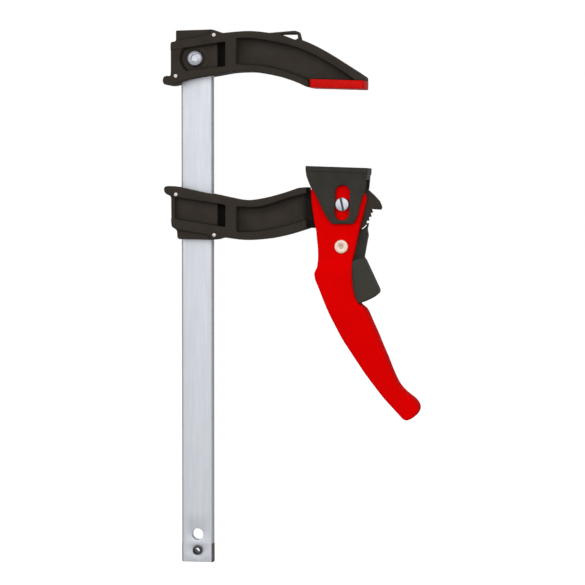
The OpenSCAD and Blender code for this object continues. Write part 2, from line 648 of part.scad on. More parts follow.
// Torsion spring beside the pawl: one leg bears on the lever's web, the other on the trigger
wire_sides = 6;
coil_rings = 8;
coil_start = 110;
coil_r = rivet_d / 2 + wire_d;
coil_y0 = wire_d / 2 + 4 * seat_gap;
coil_y1 = pawl_t / 2 + wire_d / 2 + seat_gap;
leg_share = 3.4;
function coil_point(t) = let (a = coil_start - 360 * spring_turns * t)
    [rivet[0] + coil_r * cos(a), coil_y0 + (coil_y1 - coil_y0) * t, rivet[1] + coil_r * sin(a)];
function leg(t, dir) = let (a = coil_start - 360 * spring_turns * t, l = leg_share * coil_r * dir)
    coil_point(t) + l * [sin(a), 0, -cos(a)];
coil_n = round(spring_turns * coil_rings);
coil_path = concat([leg(0, -1)], [for (i = [0:coil_n]) coil_point(i / coil_n)], [leg(1, 1)]);
module pawl_spring() {
    color(steel) at_pivot() sweep(coil_path, wire_d / 2);
}
function unit(v) = v / norm(v);
// One closed tube of a few sides along a path
module sweep(path, r) {
    n = len(path);
    points = [for (i = [0:n - 1]) let (t = unit(pick(path, i + 1) - pick(path, i - 1)),
        u = unit(cross(t, [0, 1, 0])), w = cross(u, t)) each [for (k = [0:wire_sides - 1])
            path[i] + r * (u * cos(360 * k / wire_sides) + w * sin(360 * k / wire_sides))]];
    sides = [for (i = [0:n - 2], k = [0:wire_sides - 1]) let (a = i * wire_sides + k,
        b = i * wire_sides + (k + 1) % wire_sides) each
            [[a, b, a + wire_sides], [b, b + wire_sides, a + wire_sides]]];
    polyhedron(points, concat(sides, [[for (k = [wire_sides - 1:-1:0]) k]],
        [[for (k = [0:wire_sides - 1]) (n - 1) * wire_sides + k]]));
}

rail();
rail_stop_pin();
fixed_arm();
fixed_arm_screw();
fixed_arm_nut();
fixed_upper_pin();
fixed_lower_pin();
fixed_jaw_cap();
sliding_arm();
sliding_upper_pin();
sliding_lower_pin();
pressure_head();
lever();
pivot_bolt();
pivot_nut();
pawl();
release_trigger();
pawl_rivet();
pawl_spring();
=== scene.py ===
import bpy
import numpy as np
from mathutils import Matrix
from mathutils.geometry import delaunay_2d_cdt


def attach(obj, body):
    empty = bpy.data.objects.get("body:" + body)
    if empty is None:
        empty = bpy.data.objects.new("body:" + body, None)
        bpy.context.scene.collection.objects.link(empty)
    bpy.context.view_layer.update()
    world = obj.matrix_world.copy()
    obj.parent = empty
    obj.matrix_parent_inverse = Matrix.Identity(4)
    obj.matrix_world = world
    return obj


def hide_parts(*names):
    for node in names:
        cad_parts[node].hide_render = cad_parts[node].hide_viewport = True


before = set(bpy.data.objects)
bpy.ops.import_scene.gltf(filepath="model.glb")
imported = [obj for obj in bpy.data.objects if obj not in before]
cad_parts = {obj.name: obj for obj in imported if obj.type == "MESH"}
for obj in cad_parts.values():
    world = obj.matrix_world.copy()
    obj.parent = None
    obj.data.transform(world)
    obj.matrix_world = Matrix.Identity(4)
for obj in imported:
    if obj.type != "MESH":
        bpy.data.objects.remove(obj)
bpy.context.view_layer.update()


# ---------------------------------------------------------------------------
# Rail: a flat bar of cold drawn steel, rolled with fine teeth along both narrow
# edges and zinc plated. A round hole near each end takes the fixed arm's screw.
# ---------------------------------------------------------------------------
def evened(points, step=0.4, soft=0.0):
    """A closed outline with its points a step apart, counter-clockwise. Its corners are
    rounded by a bell-shaped average along the line, soft being that bell's width."""
    p = np.asarray(points, float)
    nxt = np.roll(p, -1, 0)
    if (p[:, 0] * nxt[:, 1] - nxt[:, 0] * p[:, 1]).sum() < 0:
        p = p[::-1]
    loop = np.vstack([p, p[:1]])
    run = np.concatenate([[0], np.cumsum(np.hypot(*np.diff(loop, axis=0).T))])
    count = max(12, int(round(run[-1] / step)))
    at = np.linspace(0, run[-1], count, endpoint=False)
    out = np.stack([np.interp(at, run, loop[:, 0]), np.interp(at, run, loop[:, 1])], 1)
    if soft:
        pace = np.fft.fftfreq(count, run[-1] / count)[:, None]
        out = np.fft.ifft(np.fft.fft(out, axis=0) * np.exp(-2 * (np.pi * pace * soft) ** 2), axis=0).real
    return out


def depth_in(points, outline):
    """How far points lie inside a closed outline, negative outside: the least distance to its
    segments, with its sign from how often a level line from the point crosses the outline."""
    a, b = outline, np.roll(outline, -1, 0)
    ab, out = b - a, np.empty(len(points))
    rise = np.where(ab[:, 1] == 0, 1e-12, ab[:, 1])
    for i in range(0, len(points), 3000):
        q = points[i:i + 3000, None, :] - a
        t = np.clip((q * ab).sum(-1) / (ab * ab).sum(-1), 0, 1)[..., None]
        near = np.sqrt(((q - t * ab) ** 2).sum(-1).min(1))
        level = points[i:i + 3000, None, :]
        crossed = (a[:, 1] > level[..., 1]) != (b[:, 1] > level[..., 1])
        right = level[..., 0] < a[:, 0] + q[..., 1] * ab[:, 0] / rise
        out[i:i + 3000] = np.where((crossed & right).sum(1) % 2, near, -near)
    return out


def beside(outline, insets):
    """Points on lines beside an outline, one line for each inset, without those where the
    outline turns too tightly to keep that distance."""
    along = np.roll(outline, -1, 0) - np.roll(outline, 1, 0)
    inward = np.stack([-along[:, 1], along[:, 0]], 1) / np.hypot(*along.T)[:, None]
    made = np.vstack([outline + inward * s for s in insets])
    wanted = np.repeat(np.asarray(insets, float), len(outline))
    return made[np.abs(depth_in(made, outline) - wanted) < 0.02]


def plate(outlines, front, back=None, holes=(), lines=(), fill=1.6):
    """A closed body over the joined insides of the outlines, less the holes. Its front lies at
    -front(p) and its back at back(p), both heights being functions of the two coordinates of
    a point; a wall joins them. Points stand along the lines, given as (outline, insets), and
    on a hexagon pattern between them; Delaunay's rule joins them into triangles."""
    rims = [*outlines, *holes]

    def inside(p, margin):
        d = np.max([depth_in(p, o) for o in outlines], axis=0)
        for h in holes:
            d = np.minimum(d, -depth_in(p, h))
        return d > margin

    extra = [beside(o, [s for s in insets if s]) for o, insets in lines if any(insets)]
    extra += [o for o, insets in lines if 0 in insets and not any(o is r for r in rims)]
    extra = np.vstack(extra) if extra else np.zeros((0, 2))
    low, high = np.vstack(outlines).min(0), np.vstack(outlines).max(0)
    row_gap = 0.866 * fill
    u, v = np.meshgrid(np.arange(low[0], high[0], fill), np.arange(low[1], high[1], row_gap))
    u = u + (np.arange(len(u)) % 2)[:, None] * fill / 2
    between = np.stack([u.ravel(), v.ravel()], 1)
    # A cell that holds a point of a line, or lies beside one, gets no point of the pattern
    held = np.zeros(np.ceil((high - low) / fill).astype(int) + 5, bool)
    last = np.array(held.shape) - 1
    cell = ((np.vstack([*rims, extra]) - low) / fill).astype(int) + 2
    for beside_it in ((0, 0), (1, 0), (-1, 0), (0, 1), (0, -1)):
        held[tuple(np.clip(cell + beside_it, 0, last).T)] = True
    at = np.clip(((between - low) / fill).astype(int) + 2, 0, last)
    between = between[~held[tuple(at.T)]]
    loose = np.vstack([extra, between])
    rim_gap, sliver = 0.03, 0.001
    loose = loose[inside(loose, rim_gap)]
    starts = np.cumsum([0] + [len(r) for r in rims])
    edges = np.vstack([np.stack([np.arange(len(r)), (np.arange(len(r)) + 1) % len(r)], 1) + s
                       for r, s in zip(rims, starts)])
    found = delaunay_2d_cdt(np.vstack([*rims, loose]).tolist(), edges.tolist(), [], 0, 1e-5)
    p = np.array([tuple(c) for c in found[0]])
    tri = np.array(found[2])
    tri = tri[inside(p[tri].mean(1), sliver)]
    used = np.unique(tri)
    p, tri = p[used], np.searchsorted(used, tri)
    ab, ac = p[tri[:, 1]] - p[tri[:, 0]], p[tri[:, 2]] - p[tri[:, 0]]
    turned_over = ab[:, 0] * ac[:, 1] - ab[:, 1] * ac[:, 0] < 0
    tri[turned_over] = tri[turned_over][:, ::-1]
    n = len(p)
    sides = np.vstack([tri[:, [0, 1]], tri[:, [1, 2]], tri[:, [2, 0]]])
    code = sides[:, 0] * n + sides[:, 1]
    rim = sides[~np.isin(code, sides[:, 1] * n + sides[:, 0])]
    wall = np.vstack([np.stack([rim[:, 0], rim[:, 0] + n, rim[:, 1] + n], 1),
                      np.stack([rim[:, 0], rim[:, 1] + n, rim[:, 1]], 1)])
    points = np.vstack([np.stack([p[:, 0], -front(p), p[:, 1]], 1),
                        np.stack([p[:, 0], (back or front)(p), p[:, 1]], 1)])
    return points, np.vstack([tri, tri[:, ::-1] + n, wall])


def piece(name, shape, body, nodes, material, sharp=40):
    """Puts points in millimetres and triangles into a mesh in metres, smooth except where
    two faces meet at more than the sharp angle, links it under its body's empty and hides
    the model's parts that it stands in for."""
    points, triangles = shape
    mesh = bpy.data.meshes.new(name)
    mesh.vertices.add(len(points))
    mesh.vertices.foreach_set("co", (points / 1000).astype(np.float32).ravel())
    mesh.loops.add(triangles.size)
    mesh.loops.foreach_set("vertex_index", triangles.astype(np.int32).ravel())
    mesh.polygons.add(len(triangles))
    mesh.polygons.foreach_set("loop_start", np.arange(0, triangles.size, 3, dtype=np.int32))
    mesh.update(calc_edges=True)
    mesh.validate()
    mesh.shade_smooth()
    mesh.set_sharp_from_angle(angle=np.radians(sharp))
    mesh.materials.append(material)
    thing = bpy.data.objects.new(name, mesh)
    bpy.context.scene.collection.objects.link(thing)
    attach(thing, body)
    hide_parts(*nodes)
    return thing


def circle(x, z, radius, step=0.4):
    """A circle as a closed outline: centre plus radius times cosine and sine of even angles."""
    a = np.linspace(0, 2 * np.pi, max(24, int(2 * np.pi * radius / step)), endpoint=False)
    return np.stack([x + radius * np.cos(a), z + radius * np.sin(a)], 1)


def edge_drop(depth, radius):
    """How far a rounded edge falls below its face: a quarter circle in the depth from the edge."""
    short = np.clip(radius - depth, 0, radius)
    return radius - np.sqrt(radius ** 2 - short ** 2)


def round_insets(radius):
    """Insets at which a quarter circle's lines stand, one for each 18 degrees of it."""
    return [0.0] + [radius * (1 - np.cos(np.radians(a))) for a in (18, 36, 54, 72)] + [radius]


def linear(code):
    """The linear colour of an sRGB hex value: under 0.04045 a twelfth part, above it a power."""
    c = np.array([int(code[i:i + 2], 16) for i in (1, 3, 5)]) / 255
    return (*np.where(c <= 0.04045, c / 12.92, ((c + 0.055) / 1.055) ** 2.4), 1.0)


def add(material, kind, settings, **links):
    """Adds one node. Settings are its own properties, its inputs' values by name or number, or
    a ramp's two stops as (place, hex colour); links join inputs to other nodes' outputs, by
    name, or by number after an n."""
    node = material.node_tree.nodes.new(kind)
    for name, value in settings.items():
        if name == "stops":
            for stop, (place, code) in zip(node.color_ramp.elements, value):
                stop.position, stop.color = place, linear(code)
        elif isinstance(name, int) or name in node.inputs:
            node.inputs[name].default_value = value
        else:
            setattr(node, name, value)
    for name, output in links.items():
        socket = int(name[1:]) if name[1:].isdigit() else name.replace("_", " ")
        material.node_tree.links.new(output, node.inputs[socket])
    return node


def blank(name):
    """A material with only its output node."""
    material = bpy.data.materials.new(name)
    material.use_nodes = True
    material.node_tree.nodes.clear()
    return material, add(material, "ShaderNodeOutputMaterial", {}).inputs["Surface"]


# Zinc plate on cold drawn steel, passivated blue: a pale satin grey with faint lengthwise
# drawing lines (0.7 mm, coarser than the real 0.1 mm so that they show), a soft mottle of
# 5 mm from the bath, duller teeth with a darker grey painted on them as painted shade, and a
# still darker painted shade on the plain right edge below them
zinc_plate, surface = blank("zinc_plate_on_drawn_steel")
place = add(zinc_plate, "ShaderNodeTexCoord", {}).outputs["Object"]
at = add(zinc_plate, "ShaderNodeSeparateXYZ", {}, Vector=place).outputs
lengthwise = add(zinc_plate, "ShaderNodeMapping", {"Scale": (1, 1, 0.05)}, Vector=place).outputs["Vector"]
drawn = add(zinc_plate, "ShaderNodeTexNoise", {"Scale": 1 / 0.0014, "Detail": 3.0},
            Vector=lengthwise).outputs["Fac"]
mottle = add(zinc_plate, "ShaderNodeTexNoise", {"Scale": 1 / 0.005, "Detail": 5.0, "Roughness": 0.7},
             Vector=place).outputs["Fac"]
plain_tone = add(zinc_plate, "ShaderNodeValToRGB", {"stops": ((0.35, "#babec4"), (0.65, "#c5c8cd"))},
                 Fac=mottle).outputs["Color"]
line_tone = add(zinc_plate, "ShaderNodeValToRGB", {"stops": ((0.3, "#b8bbc1"), (0.7, "#c8cbd0"))},
                Fac=drawn).outputs["Color"]
tone = add(zinc_plate, "ShaderNodeMix", {"data_type": "RGBA", "Factor": 0.5},
           n6=plain_tone, n7=line_tone).outputs[2]
off_middle = add(zinc_plate, "ShaderNodeMath", {"operation": "ADD", 1: 0.087}, n0=at["X"]).outputs[0]
off_middle = add(zinc_plate, "ShaderNodeMath", {"operation": "ABSOLUTE"}, n0=off_middle).outputs[0]
# Painted shade: a darker grey tone laid along both toothed edges; the same mask makes them duller
at_teeth = add(zinc_plate, "ShaderNodeMapRange", {"From Min": 0.0084, "From Max": 0.0090},
               Value=off_middle).outputs["Result"]
tone = add(zinc_plate, "ShaderNodeMix", {"data_type": "RGBA", 7: linear("#aaacb1")},
           Factor=at_teeth, n6=tone).outputs[2]
# Painted shade on the plain right edge below the teeth: a dark brown grey
below_teeth = add(zinc_plate, "ShaderNodeMapRange", {"From Min": -0.2768, "From Max": -0.2776},
                  Value=at["Z"]).outputs["Result"]
at_right_edge = add(zinc_plate, "ShaderNodeMapRange", {"From Min": -0.0785, "From Max": -0.0780},
                    Value=at["X"]).outputs["Result"]
right_edge_shade = add(zinc_plate, "ShaderNodeMath", {"operation": "MULTIPLY"}, n0=below_teeth, n1=at_right_edge)
tone = add(zinc_plate, "ShaderNodeMix", {"data_type": "RGBA", 7: linear("#66615e")},
           Factor=right_edge_shade.outputs[0], n6=tone).outputs[2]
satin = add(zinc_plate, "ShaderNodeMapRange",
            {"From Min": 0.3, "From Max": 0.7, "To Min": 0.45, "To Max": 0.55}, Value=mottle).outputs["Result"]
rough = add(zinc_plate, "ShaderNodeMath", {"operation": "MULTIPLY_ADD", 1: 0.1}, n0=at_teeth, n2=satin)
relief = add(zinc_plate, "ShaderNodeBump", {"Strength": 0.12, "Distance": 0.0001}, Height=drawn)
shader = add(zinc_plate, "ShaderNodeBsdfPrincipled", {"Metallic": 1.0},
             Base_Color=tone, Roughness=rough.outputs[0], Normal=relief.outputs["Normal"])
zinc_plate.node_tree.links.new(shader.outputs["BSDF"], surface)

rail_left, rail_right, rail_low, rail_high = -97.0, -77.0, -288.997, 36.003
rail_mid, rail_half, hole_r = -87, 2.5, 3.5
end_hole_z, screw_hole_z, stop_z, stop_bore_r = -271.797, 18.803, -281.597, 2.72
tooth_pitch, tooth_depth = 1.4, 0.35
tooth_low, tooth_high = -277.2, 31.0
tips = np.arange(tooth_low, tooth_high, tooth_pitch)
teeth_up = np.stack([np.stack([np.full_like(tips, rail_right - depth), tips + share * tooth_pitch], 1)
                     for depth, share in ((0, 0), (tooth_depth, 0.35), (tooth_depth, 0.55))], 1).reshape(-1, 2)
teeth_down = teeth_up[::-1] * [-1, 1] + [rail_left + rail_right, 0]
left_cut, right_cut, low_cut, high_cut = rail_left + 0.6, rail_right - 0.6, rail_low + 0.6, rail_high - 0.6
rail_outline = np.vstack([
    [[right_cut, rail_low], [rail_right, low_cut]], teeth_up,
    [[rail_right, high_cut], [right_cut, rail_high], [left_cut, rail_high], [rail_left, high_cut]],
    teeth_down, [[rail_left, low_cut], [left_cut, rail_low]]])
rail_holes = [circle(rail_mid, z, r) for z, r in
              ((end_hole_z, hole_r), (screw_hole_z, hole_r), (stop_z, stop_bore_r))]
chamfer = np.array([[-1, 1.35], [0, 1.35], [0.12, 1.6], [0.9, 2.36], [1.25, rail_half], [99, rail_half]])
long_lines = np.vstack([np.stack([np.full(240, x), np.linspace(rail_low + 0.4, rail_high - 0.4, 240)], 1)
                        for x in (rail_left + 0.5, rail_left + 0.9, rail_left + 1.25,
                                  rail_right - 0.5, rail_right - 0.9, rail_right - 1.25)])
ends = np.vstack([np.stack([np.linspace(rail_left + 1.3, rail_right - 1.3, 40), np.full(40, z)], 1)
                  for z in (rail_low + 0.15, rail_low + 0.4, rail_high - 0.15, rail_high - 0.4)])


def rail_height(p):
    """Half the rail's thickness: full in the middle, falling along a soft chamfer by the
    distance to the straight edge, and by a small round at each hole and at both ends."""
    to_edge = np.minimum(p[:, 0] - rail_left, rail_right - p[:, 0])
    h = np.interp(to_edge, chamfer[:, 0], chamfer[:, 1])
    for hole in rail_holes:
        h = h - edge_drop(-depth_in(p, hole), 0.3)
    return h - edge_drop(np.minimum(p[:, 1] - rail_low, rail_high - p[:, 1]), 0.4)


rail_lines = [*((h, (-0.1, -0.3)) for h in rail_holes), (long_lines, (0,)), (ends, (0,))]
piece("rail_bar", plate([rail_outline], rail_height, holes=rail_holes, lines=rail_lines, fill=5.0),
      "clamp_body", ["rail"], zinc_plate, sharp=28)


# ---------------------------------------------------------------------------
# Arms: two cast light-metal arms with I-shaped beams, a collar round the rail and shallow
# panels, powder coated in a warm brown black. The fixed arm carries the hanging loop and the
# jaw, the sliding arm ends in a thin tongue with the toothed sector.
# ---------------------------------------------------------------------------
# Powder coat on a casting: dull brown black with the fine orange peel of a baked powder,
# about 1 mm from crest to crest, a slightly paler tone painted on the recess floors as painted
# light, and a near-black painted shade where the attribute marks corners
powder_coat, surface = blank("powder_coat_on_casting")
place = add(powder_coat, "ShaderNodeTexCoord", {}).outputs["Object"]
peel, cloud = (add(powder_coat, "ShaderNodeTexNoise", {"Scale": 1 / wave, "Detail": detail},
                   Vector=place).outputs["Fac"] for wave, detail in ((0.0011, 2.0), (0.012, 3.0)))
# Painted light: the recess floors near the web get the paler tone, the ribs the darker one
rib_tone, thin = (
    add(powder_coat, "ShaderNodeValToRGB", {"stops": ((0.3, dark), (0.7, pale))}, Fac=cloud).outputs[0]
    for dark, pale in (("#332d27", "#3b342e"), ("#36302a", "#3f3932")))
out_from_web = add(powder_coat, "ShaderNodeSeparateXYZ", {}, Vector=place).outputs["Y"]
out_from_web = add(powder_coat, "ShaderNodeMath", {"operation": "ABSOLUTE"}, n0=out_from_web).outputs[0]
on_ribs = add(powder_coat, "ShaderNodeMapRange", {"From Min": 0.004, "From Max": 0.0095},
              Value=out_from_web).outputs["Result"]
coat = add(powder_coat, "ShaderNodeMix", {"data_type": "RGBA"}, Factor=on_ribs, n6=thin, n7=rib_tone).outputs[2]
# Painted shade: the attribute darkens corners, the deep slot and the tongue by the lever to near black
painted_shade_share = add(powder_coat, "ShaderNodeAttribute", {"attribute_name": "painted_shade"}).outputs["Fac"]
tone = add(powder_coat, "ShaderNodeMix", {"data_type": "RGBA", 7: linear("#0c0a08")},
           Factor=painted_shade_share, n6=coat).outputs[2]
rough = add(powder_coat, "ShaderNodeMapRange",
            {"From Min": 0.3, "From Max": 0.7, "To Min": 0.8, "To Max": 0.88}, Value=peel).outputs["Result"]
relief = add(powder_coat, "ShaderNodeBump", {"Strength": 0.25, "Distance": 0.00015}, Height=peel)
shader = add(powder_coat, "ShaderNodeBsdfPrincipled", {"IOR": 1.5, "Specular IOR Level": 0.16},
             Base_Color=tone, Roughness=rough, Normal=relief.outputs["Normal"])
powder_coat.node_tree.links.new(shader.outputs["BSDF"], surface)

jaw_x, arm_h, half_w, web = 87.0, 33.0, 10.0, 2.5
ear_z, slide_z = 3.003, -58.5
bite_x, bite_low, bite_high = 11.85, 5.148, 29.748


def curve(points, steps):
    """Catmull-Rom curve through the points: a cubic in each span whose slope at a point is
    half the way from the point before to the point after."""
    p = np.asarray(points, float)
    q = np.vstack([p[:1], p, p[-1:]])
    t = (np.arange(steps) / steps)[None, :, None]
    a, b, c, d = (q[i:len(q) - 3 + i, None, :] for i in range(4))
    made = (2 * b + (c - a) * t + (2 * a - 5 * b + 4 * c - d) * t ** 2 + (3 * b - a - 3 * c + d) * t ** 3) / 2
    return np.vstack([made.reshape(-1, 2), p[-1:]])


def recess(top, floor, lip, fillet, draft):
    """Side view of a recess as rows of (depth inside its outline, height): a round lip, a
    drafted wall, a round foot and the floor."""
    a = np.radians([0, 22.5, 45, 67.5, 90])
    lips = np.stack([lip * (np.sin(a) - 1), top - lip * (1 - np.cos(a))], 1)
    foot = np.stack([draft + fillet * (1 - np.cos(a)), floor + fillet * (1 - np.sin(a))], 1)
    return np.vstack([[-99, top], lips, foot, [99, floor]])


def insets_of(rows):
    """The depths at which a recess's side view bends, without its two far ends."""
    return list(rows[1:-1, 0])


def fixed_place(p):
    """The fixed arm's own coordinates (from the rail's centre and its lower corner) in the frame."""
    return np.asarray(p, float) + [-jaw_x, ear_z]


def sliding_place(p):
    """The sliding arm is the same casting turned over."""
    return np.asarray(p, float) * [1, -1] + [-jaw_x, slide_z]


def shares(rows):
    """Points given as shares of the throat and of the arm's height, in millimetres."""
    return np.array(rows, float) * [jaw_x, arm_h]


fixed_ear = shares([[-0.171, 0.158], [-0.207, 0.158], [-0.223, 0.133], [-0.228, 0.055], [-0.217, 0]])
fixed_wall = shares([[0.112, 1.003], [-0.136, 0.99], [-0.136, 0.788], [-0.162, 0.782], [-0.171, 0.758]])
shoulder = shares([[0.163, 0.967], [0.138, 0.99]])
fixed_low = curve(shares([
    [-0.198, -0.009], [-0.156, 0], [-0.075, 0.07], [0.016, 0.121], [0.141, 0.173], [0.254, 0.221],
    [0.351, 0.233], [0.433, 0.221], [0.575, 0.145], [0.705, 0.036], [0.787, -0.061]]), 5)
fixed_high = curve(shares([
    [0.199, 0.933], [0.376, 0.964], [0.517, 0.93], [0.643, 0.867], [0.763, 0.785], [0.902, 0.6],
    [1.041, 0.373], [1.175, 0.145], [1.19, 0.103]]), 5)
seat_left, seat_right = 70.2, 103.7
seat = [[x, 5.05 - ear_z - (x - jaw_x) * np.tan(np.radians(2))] for x in (seat_left, seat_right)]
fixed_outline = evened(fixed_place(np.vstack([
    fixed_low, [[seat_left, fixed_low[-1, 1] - 0.3]], seat, fixed_high[::-1],
    shoulder, fixed_wall, fixed_ear])), 0.4, 0.45)
fixed_pocket = evened(fixed_place(np.vstack([
    curve(shares([[0.295, 0.355], [0.464, 0.327], [0.619, 0.236], [0.722, 0.139], [0.799, 0.055]]), 4),
    shares([[0.81, -0.1], [1.16, -0.1]]),
    curve(shares([[0.295, 0.839], [0.413, 0.836], [0.567, 0.764], [0.722, 0.661],
                  [0.876, 0.479], [1.029, 0.239], [1.125, 0.06]]), 4)[::-1]])), 0.5, 0.5)
screw_up, boss_r, arc = 15.8, 9.4, np.radians(np.linspace(141, 239, 12))
fixed_panel = evened(fixed_place(np.vstack([
    shares([[-0.05, 0.247], [0.219, 0.324], [0.219, 0.779], [-0.08, 0.665]]),
    [0, screw_up] + boss_r * np.stack([np.cos(arc), np.sin(arc)], 1)])), 0.5, 0.4)
fixed_open = evened(fixed_place(shares([[-0.3, 0.176], [0.02, 0.267], [0.02, 0.703], [-0.3, 0.58]])), 0.5, 0.3)
deep_shape = shares([[0.153, 0.25], [0.25, 0.25], [0.25, 0.9], [0.153, 0.9]])
step_shape = shares([[-0.3, 0.74], [-0.152, 0.79], [0.086, 0.885], [0.11, 0.92], [0.11, 1.3], [-0.3, 1.3]])
fixed_deep, fixed_step = evened(fixed_place(deep_shape), 0.4, 0.3), evened(fixed_place(step_shape), 0.5, 0.3)
fixed_recesses = fixed_pocket, fixed_panel, fixed_deep, fixed_step, fixed_open
loop = evened(fixed_place(shares([
    [0.46, 0.9], [0.46, 0.925], [0.7, 0.97], [0.722, 0.95], [0.737, 0.8], [0.637, 0.8]])), 0.4, 0.4)
loop_hole = evened(fixed_place(shares([[0.598, 0.91], [0.716, 0.91], [0.723, 0.8], [0.709, 0.795]])), 0.4, 0.25)
loop_round, loop_hole_round, loop_half = 0.8, 0.6, 5.0

pocket_rows = recess(half_w, web, 0.3, 1.6, 0.3)
panel_rows = recess(half_w, 6.0, 0.3, 1.0, 0.25)
slot_rows = recess(half_w, web, 0.3, 0.5, 0.25)
deep_rows = recess(6.3, web, 0.4, 0.5, 0.3)
step_rows = recess(half_w, 8.4, 0.3, 0.7, 0.3)
open_rows = recess(half_w, 9.3, 0.2, 0.4, 0.2)
arm_round = 0.7


def recess_lines(pocket, panel, deep, step, side):
    """The lines along which an arm's recesses bend, for its plate."""
    return [(pocket, insets_of(pocket_rows)), (panel, insets_of(panel_rows)), (panel, insets_of(slot_rows)[4:]),
            (deep, insets_of(deep_rows)), (step, insets_of(step_rows)), (side, insets_of(open_rows))]


def arm_height(p, outline, pocket, panel, deep, step, side, boss=None):
    """Half an arm's thickness: the least of its recesses' side views, each read by the depth
    inside that recess, with a round boss standing in the panel, less the rounded outer edge."""
    h = np.full(len(p), half_w)
    for shape, rows in ((pocket, pocket_rows), (panel, panel_rows), (step, step_rows), (side, open_rows)):
        h = np.minimum(h, np.interp(depth_in(p, shape), *rows.T))
    if boss is not None:
        far = np.hypot(*(p - boss).T)
        h = np.maximum(h, np.interp(far, [7.7, 8.0, 8.3, 8.7, 9.0], [7.2, 7.1, 6.8, 6.1, 0]))
    floors = np.where(deep_rows[:, 0] < -9, half_w, deep_rows[:, 1])
    in_slot = np.interp(depth_in(p, deep), deep_rows[:, 0], floors)
    h = np.minimum(h, np.maximum(in_slot, np.interp(depth_in(p, panel), *slot_rows.T)))
    return h - edge_drop(depth_in(p, outline), arm_round)


def pin_places(place):
    """Where an arm's two bite pins stand in the frame, beside the rail's left edge and its right."""
    return place([[-bite_x, bite_low], [bite_x, bite_high]])


pin_bore_r, screw_bore_r = 1.53, 3.2
screw_at = fixed_place([[0, screw_up]])[0]
fixed_bores = [*(circle(*at, pin_bore_r, 0.3) for at in pin_places(fixed_place)),
               circle(*screw_at, screw_bore_r, 0.3), loop_hole]


def fixed_height(p):
    """The arm's height inside its own outline, and half the loop's width outside it."""
    h = arm_height(p, fixed_outline, *fixed_recesses, screw_at)
    own = depth_in(p, fixed_outline)
    thin = (loop_half - edge_drop(np.maximum(depth_in(p, loop), own), loop_round)
            - edge_drop(-depth_in(p, loop_hole), loop_hole_round))
    return np.where(own > 0.0, np.maximum(h, np.where(own < 0.5, thin, 0)), thin)


def painted_corner_shade(pocket, panel, deep, step, side):
    """How much painted shade a point gets, from 0 to 1: a bell round the foot of each recess's
    wall, fading at the left ends, and all of the deep slot. There the tone is painted near
    black as painted shade; the open side gets none."""
    def shade(at):
        p = at[:, [0, 2]]
        in_pocket = np.interp(p[:, 0], [-62, -56], [0.05, 0.38])
        in_panel = np.interp(p[:, 0], [-99, -94], [0.05, 0.45])
        foot = [np.exp(-((depth_in(p, shape) - far) / wide) ** 2) * share for shape, far, wide, share in
                ((pocket, 0.7, 0.9, in_pocket), (panel, 0.6, 0.7, in_panel), (step, 0.5, 0.5, 0.4))]
        slot = np.clip((depth_in(p, deep) - 0.1) / 0.4, 0, 1) * (depth_in(p, panel) > 0.1)
        return np.clip(np.max([*foot, slot], axis=0), 0, 1) * (np.abs(at[:, 1]) > 2)
    return shade


def mark(thing, value):
    """Keeps a number for each point of a piece as its attribute "painted_shade", the share of
    painted shade there, worked out from the points' places in millimetres."""
    at = np.empty(len(thing.data.vertices) * 3, np.float32)
    thing.data.vertices.foreach_get("co", at)
    kept = thing.data.attributes.new("painted_shade", "FLOAT", "POINT")
    kept.data.foreach_set("value", value(at.reshape(-1, 3).astype(float) * 1000).astype(np.float32))


def cut_out(thing, *shapes):
    """Takes closed shapes away from a piece with exact Boolean modifiers and keeps the result."""
    for points, triangles in shapes:
        mesh = bpy.data.meshes.new("cutter")
        mesh.from_pydata((points / 1000).tolist(), [], triangles.tolist())
        tool = bpy.data.objects.new("cutter", mesh)
        bpy.context.scene.collection.objects.link(tool)
        mod = thing.modifiers.new("cut", "BOOLEAN")
        mod.operation, mod.solver, mod.object = "DIFFERENCE", "EXACT", tool
        bpy.context.view_layer.update()
        made = bpy.data.meshes.new_from_object(thing.evaluated_get(bpy.context.evaluated_depsgraph_get()))
        thing.modifiers.clear()
        thing.data = made
        bpy.data.objects.remove(tool)
    return thing


def tilted(x, y, z, degrees=2.0):
    """Turns points about the y axis through the origin, clockwise as the front shows them."""
    a = np.radians(degrees)
    return np.stack([x * np.cos(a) + z * np.sin(a), y, z * np.cos(a) - x * np.sin(a)], 1)


def block(outline, half):
    """A straight prism over an outline, half its thickness to each side."""
    return plate([np.asarray(outline, float)], lambda p: np.full(len(p), half), fill=400)


way_half, way_low, way_high, way_half_y = 10.7, -150, 90, 2.8
rail_way = block([[-way_half - jaw_x, way_low], [way_half - jaw_x, way_low],
                  [way_half - jaw_x, way_high], [-way_half - jaw_x, way_high]], way_half_y)
rounds = round_insets(arm_round)
jaw_half_x, jaw_half_y, jaw_low, jaw_high = 15.1, 8.35, 2.25, 5.05
seat_points, seat_faces = block([[-jaw_half_x, jaw_low], [jaw_half_x, jaw_low],
                                 [jaw_half_x, jaw_high], [-jaw_half_x, jaw_high]], jaw_half_y)
piece("fixed_jaw_plate", (tilted(*seat_points.T), seat_faces),
      "clamp_body", ["fixed_arm"], powder_coat)
fixed_arm = piece("fixed_arm_casting", plate(
    [fixed_outline, loop], fixed_height, holes=fixed_bores,
    lines=[(fixed_outline, [-0.06] + rounds), (loop, round_insets(loop_round)),
           (loop_hole, [-s for s in round_insets(loop_hole_round)]), *recess_lines(*fixed_recesses),
           (circle(*screw_at, 8.3), [-0.7, -0.4, 0, 0.3, 0.6])]),
    "clamp_body", ["fixed_arm"], powder_coat)
cut_out(fixed_arm, rail_way)
mark(fixed_arm, painted_corner_shade(*fixed_recesses))

